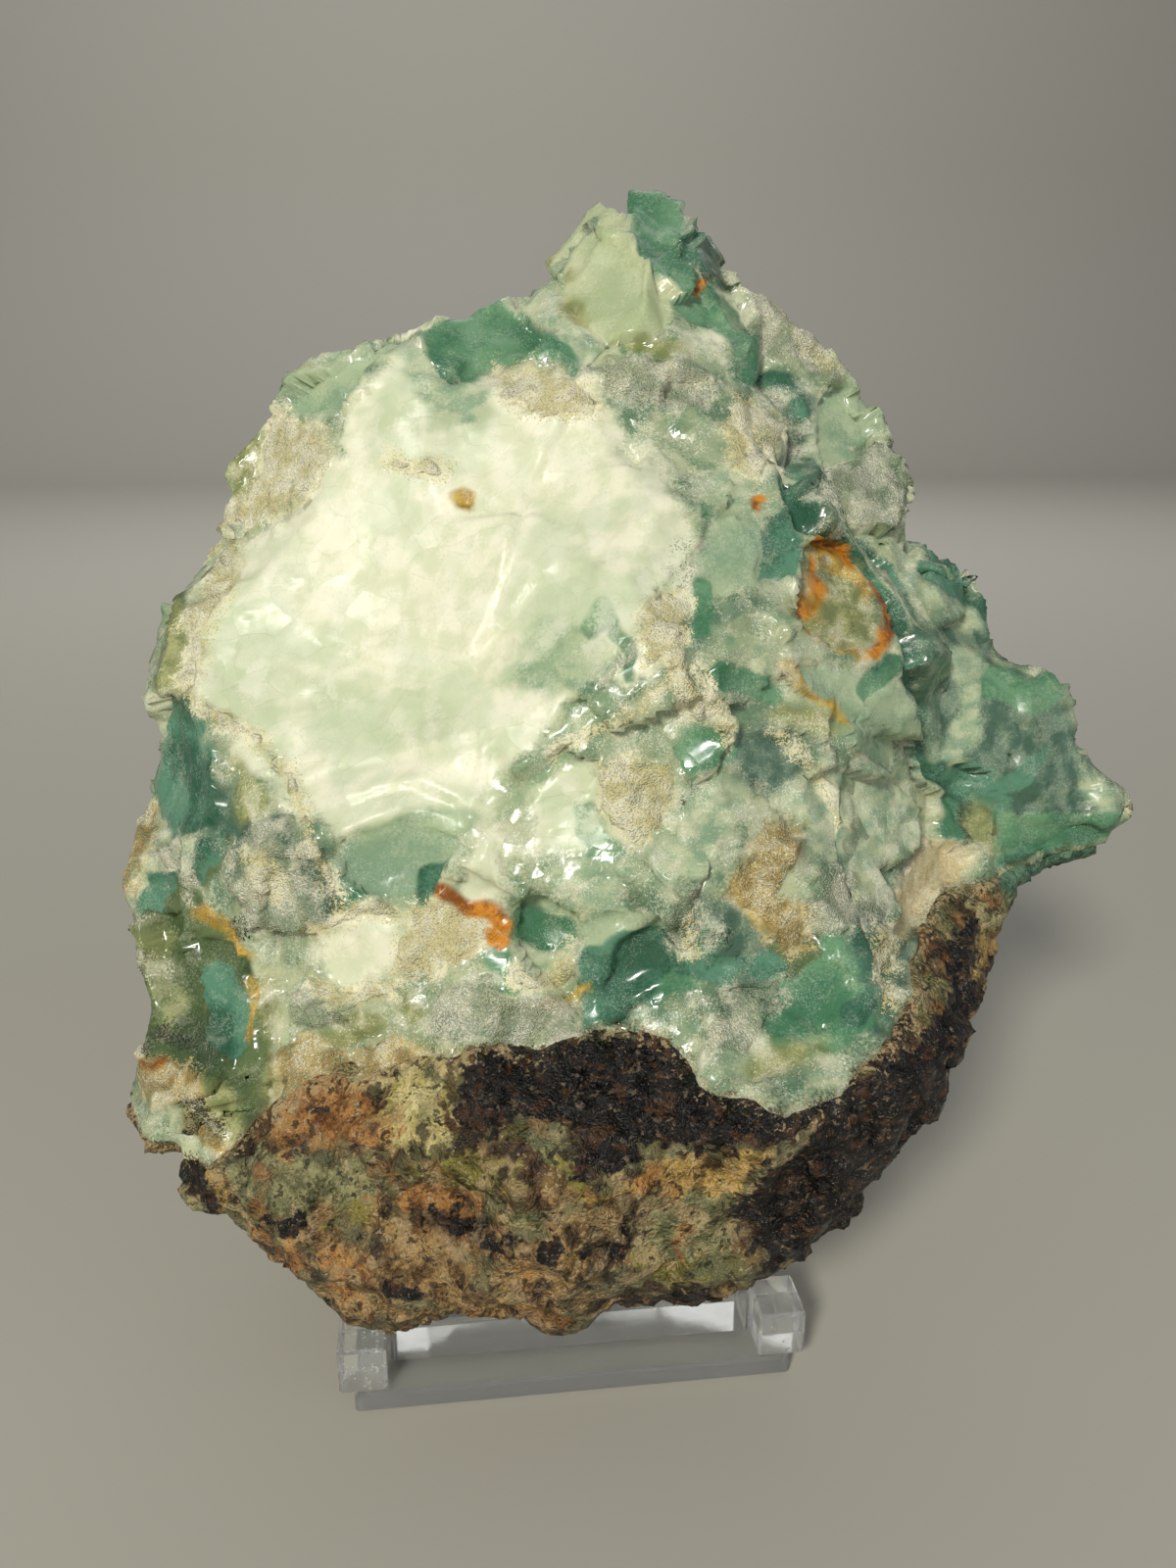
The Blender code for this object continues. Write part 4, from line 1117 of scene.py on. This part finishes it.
def matrix_material():
    made = Nodes("limonite rough and earthy")
    tan, grey, cream = made.vector("finish_a")
    ochre, olive, rust = made.vector("finish_b")
    black, rim, cell = made.vector("finish_c")
    green = made.vector("finish_d")[0]
    broad = made.grain(9.0, 3.0, 0.6)
    medium = made.grain(2.8, 4.0, 1.4)
    small = made.grain(1.5, 3.0, 4.4)
    streaks = made.grain(2.2, 4.0, 5.4, (1.0, 0.7, 2.0))
    fine = made.grain(0.8, 3.0, 2.6)
    speck = made.grain(0.4, 2.0, 3.7)
    powder = made.powder(small, fine)
    grit = made.powder(fine, speck)

    colour = made.mix(made.fade(medium, 0.4, 0.62), srgb(60, 44, 24), srgb(132, 106, 62))
    colour = made.mix(made.fade(broad, 0.5, 0.62), colour, srgb(112, 108, 66))
    colour = made.mix(made.fade(cell, 0.55, 0.95, 0.0, 0.6), colour, srgb(88, 58, 36))
    layers = (
        (tan, 9.0, 0.95, srgb(92, 66, 34), srgb(176, 142, 88)),
        (grey, 9.0, 0.97, srgb(88, 88, 52), srgb(160, 156, 108)),
        (cream, 5.0, 0.97, srgb(184, 168, 96), srgb(222, 208, 146)),
        (ochre, 7.0, 0.95, srgb(150, 116, 56), srgb(206, 172, 98)),
        (olive, 7.0, 0.98, srgb(82, 78, 26), srgb(140, 130, 60)),
        (rust, 8.0, 0.8, srgb(118, 70, 30), srgb(192, 138, 72)),
        (black, 6.0, 1.0, srgb(8, 6, 4), srgb(22, 16, 10)),
    )
    # Mottles of every kind lie all over the limonite and its finishes, apart from the black.
    # Each row gives the size, the shift, where it starts and is full, how full, and the colour.
    mottles = (
        (5.0, 6.1, 0.5, 0.66, 0.6, srgb(112, 116, 82)),
        (3.6, 7.3, 0.52, 0.68, 0.65, srgb(186, 160, 116)),
        (6.0, 9.7, 0.56, 0.7, 0.6, srgb(160, 104, 50)),
        (3.4, 8.9, 0.6, 0.68, 0.85, srgb(34, 23, 14)),
    )
    spots = [
        (made.fade(made.grain(size, 3.0, place), low, high, 0.0, full), tint)
        for size, place, low, high, full, tint in mottles
    ]
    shine = 0.0
    for depth, waver, full, first, second in layers:
        if depth is black:
            for spot, tint in spots:
                colour = made.mix(spot, colour, tint)
        edge = made.waver(made.waver(depth, medium, waver), small, 5.0)
        mask = made.fade(edge, -0.5, 0.5, 0.0, full)
        tone = made.scaled(fine, 0.5, made.times(medium, 0.5))
        colour = made.mix(mask, colour, made.mix(made.fade(tone, 0.4, 0.6), first, second))
        shine = mask
    brown = made.times(shine, made.fade(streaks, 0.53, 0.63, 0.0, 0.65))
    colour = made.mix(brown, colour, srgb(84, 54, 28))
    # Pale fibrous streaks on the black: partly the limonite's own fibres, partly a painted silky sheen.
    fibres_and_sheen = made.fade(made.grain(1.1, 3.0, 6.6, (1.0, 0.4, 2.2)), 0.6, 0.68)
    fibres_and_sheen = made.times(shine, fibres_and_sheen)
    colour = made.mix(made.times(fibres_and_sheen, 0.4), colour, srgb(150, 130, 98))
    bare = made.scaled(shine, -0.75, 1.0)
    dust = made.times(made.fade(medium, 0.45, 0.65, 0.04, 0.3), bare)
    near = made.times(made.fade(rim, 0.4, 2.5, 0.5, 0.0), bare)
    dust = made.settle(grit, made.plus(dust, near))
    colour = made.mix(made.times(dust, 0.7), colour, srgb(190, 168, 124))
    dots = made.settle(made.less(1.0, powder), 0.16)
    colour = made.mix(made.times(dots, 0.8), colour, srgb(24, 18, 15))
    # The stone's glassy green reaches a little way down onto the limonite, under the wing.
    glassy = made.mix(made.fade(medium, 0.4, 0.6), srgb(62, 98, 76), srgb(106, 140, 110))
    colour = made.mix(made.fade(made.waver(green, medium, 2.0), -0.6, 0.6), colour, glassy)
    made.give("Base Color", colour)

    gloss = made.times(shine, made.fade(speck, 0.42, 0.56))
    dull = made.fade(medium, 0.4, 0.6, 0.42, 0.72)
    made.give("Roughness", made.scaled(gloss, -0.25, dull))
    made.give("IOR", 1.5)
    bent = made.bent_place(2.5, 1.6)
    height = made.times(made.chips(bent, 3.0), 0.8)
    height = made.scaled(made.chips(bent, 1.3), 0.8, height)
    height = made.scaled(made.plus(fine, speck), 0.6 * MM, height)
    made.give("Normal", made.bump(height))
    return made.material


def acrylic_material():
    made = Nodes("acrylic clear")
    haze = made.grain(2.0, 3.0, 0.2)
    made.give("Base Color", (0.95, 0.96, 0.93, 1.0))
    made.give("Roughness", made.fade(haze, 0.45, 0.75, 0.06, 0.14))
    made.give("IOR", 1.49)
    made.give("Transmission Weight", 0.86)
    return made.material


def bubble_material():
    made = Nodes("glue bubbles")
    made.give("Roughness", 0.08)
    made.give("IOR", 1.33)
    tint = made.mix(made.grain(0.5, 2.0, 0.4), srgb(214, 216, 196), srgb(250, 250, 244))
    made.give("Base Color", tint)
    return made.material


def finish_piece(piece, node, material):
    piece.data.materials.clear()
    piece.data.materials.append(material)
    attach(piece, "root")
    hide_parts(node)


def glue_bubbles(node, count, seed):
    """Small bubbles caught in the glue under a stop."""
    low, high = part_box(node)
    rng = np.random.default_rng(seed)
    cluster = bmesh.new()
    for _ in range(count):
        size = rng.uniform(0.1, 0.24) * MM
        spot = [rng.uniform(low[axis] + size * 2, high[axis] - size * 2) for axis in (0, 1)]
        spot.append(low[2] + size + abs(rng.normal()) * 0.7 * MM)
        place = Matrix.Translation(spot)
        bmesh.ops.create_icosphere(cluster, subdivisions=2, radius=size, matrix=place)
    for face in cluster.faces:
        face.smooth = True
    return made_object(node + "_glue_bubbles", cluster)


def backdrop():
    """A pale floor that curves up into a pale wall behind."""
    sweep = bmesh.new()
    # In metres: the floor's two ends, its half width, how far it lies below the stand's feet,
    # the radius of the turn, and the wall's height.
    near, deep, wide, below, turn, high = -1.2, 1.6, 3.0, 0.0003, 0.5, 2.2
    steps = 12
    profile = [(near, 0.0), (deep, 0.0)]
    for step in range(1, steps + 1):
        angle = step / steps * math.pi / 2
        profile.append((deep + turn * math.sin(angle), turn * (1 - math.cos(angle))))
    profile.append((deep + turn, high))
    verts = [sweep.verts.new((-wide, y, z - below)) for y, z in profile]
    edges = [sweep.edges.new(pair) for pair in zip(verts, verts[1:])]
    grown = bmesh.ops.extrude_edge_only(sweep, edges=edges)
    moved = [item for item in grown["geom"] if isinstance(item, bmesh.types.BMVert)]
    bmesh.ops.translate(sweep, verts=moved, vec=(2 * wide, 0, 0))
    for face in sweep.faces:
        face.smooth = True
    piece = made_object("backdrop", sweep)
    paint = bpy.data.materials.new("pale floor")
    paint.use_nodes = True
    shader = paint.node_tree.nodes["Principled BSDF"]
    shader.inputs["Base Color"].default_value = srgb(186, 182, 168)
    shader.inputs["Roughness"].default_value = 0.7
    piece.data.materials.append(paint)


def area_light(name, place, aim, size, power, colour):
    lamp = bpy.data.lights.new(name, "AREA")
    lamp.shape = "DISK"
    lamp.size = size
    lamp.energy = power
    lamp.color = colour
    stand = bpy.data.objects.new(name, lamp)
    way = Vector(place) - Vector(aim)
    stand.matrix_world = Matrix.Translation(place) @ way.to_track_quat("Z", "Y").to_matrix().to_4x4()
    bpy.context.scene.collection.objects.link(stand)


def lights():
    aim = (0.0, 0.0, 0.07)
    area_light("key", (-0.46, -0.96, 0.74), aim, 0.22, 11.5, (1.0, 0.972, 0.91))
    area_light("fill", (0.9, -0.8, 0.5), aim, 1.2, 1.6, (0.9, 0.94, 1.0))
    area_light("back", (0.3, 1.0, 0.9), aim, 1.0, 1.6, (0.95, 0.97, 1.0))
    area_light("wall", (0.0, 0.7, 1.2), (0.0, 2.1, 0.5), 1.4, 9.0, (0.94, 0.95, 1.0))
    world = bpy.data.worlds.new("studio")
    world.use_nodes = True
    sky = world.node_tree.nodes["Background"]
    sky.inputs["Color"].default_value = (0.84, 0.88, 0.95, 1.0)
    sky.inputs["Strength"].default_value = 0.26
    bpy.context.scene.world = world
    bpy.context.scene.view_settings.view_transform = "Standard"


def camera():
    right, up, ahead = camera_axes()
    lens = bpy.data.cameras.new("camera")
    lens.sensor_fit = "AUTO"
    lens.sensor_width = 36.0
    lens.lens = lens.sensor_width * FOCAL_PX / max(PHOTO)
    lens.clip_start = 0.01
    lens.clip_end = 20.0
    body = bpy.data.objects.new("camera", lens)
    turn = Matrix((right, up, -ahead)).transposed().to_4x4()
    body.matrix_world = Matrix.Translation(EYE * MM) @ turn
    bpy.context.scene.collection.objects.link(body)
    bpy.context.scene.camera = body


camera()
allophane = remeshed("allophane", "allophane_stone")
matrix = remeshed("limonite_matrix", "limonite_stone")
smooth_matrix = matrix.data.copy()
sculpt_matrix(matrix, allophane.data)
sculpt_allophane(allophane, smooth_matrix)
bpy.data.meshes.remove(smooth_matrix)
finish_piece(allophane, "allophane", allophane_material())
finish_piece(matrix, "limonite_matrix", matrix_material())

acrylic = acrylic_material()
for name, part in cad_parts.items():
    if name.startswith("stand_"):
        for place in part.material_slots:
            place.material = acrylic
bubbles = bubble_material()
for name, count in (("stand_left_stop", 34), ("stand_right_stop", 7)):
    cluster = glue_bubbles(name, count, 30 + count)
    cluster.data.materials.append(bubbles)
    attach(cluster, "root")
backdrop()
lights()
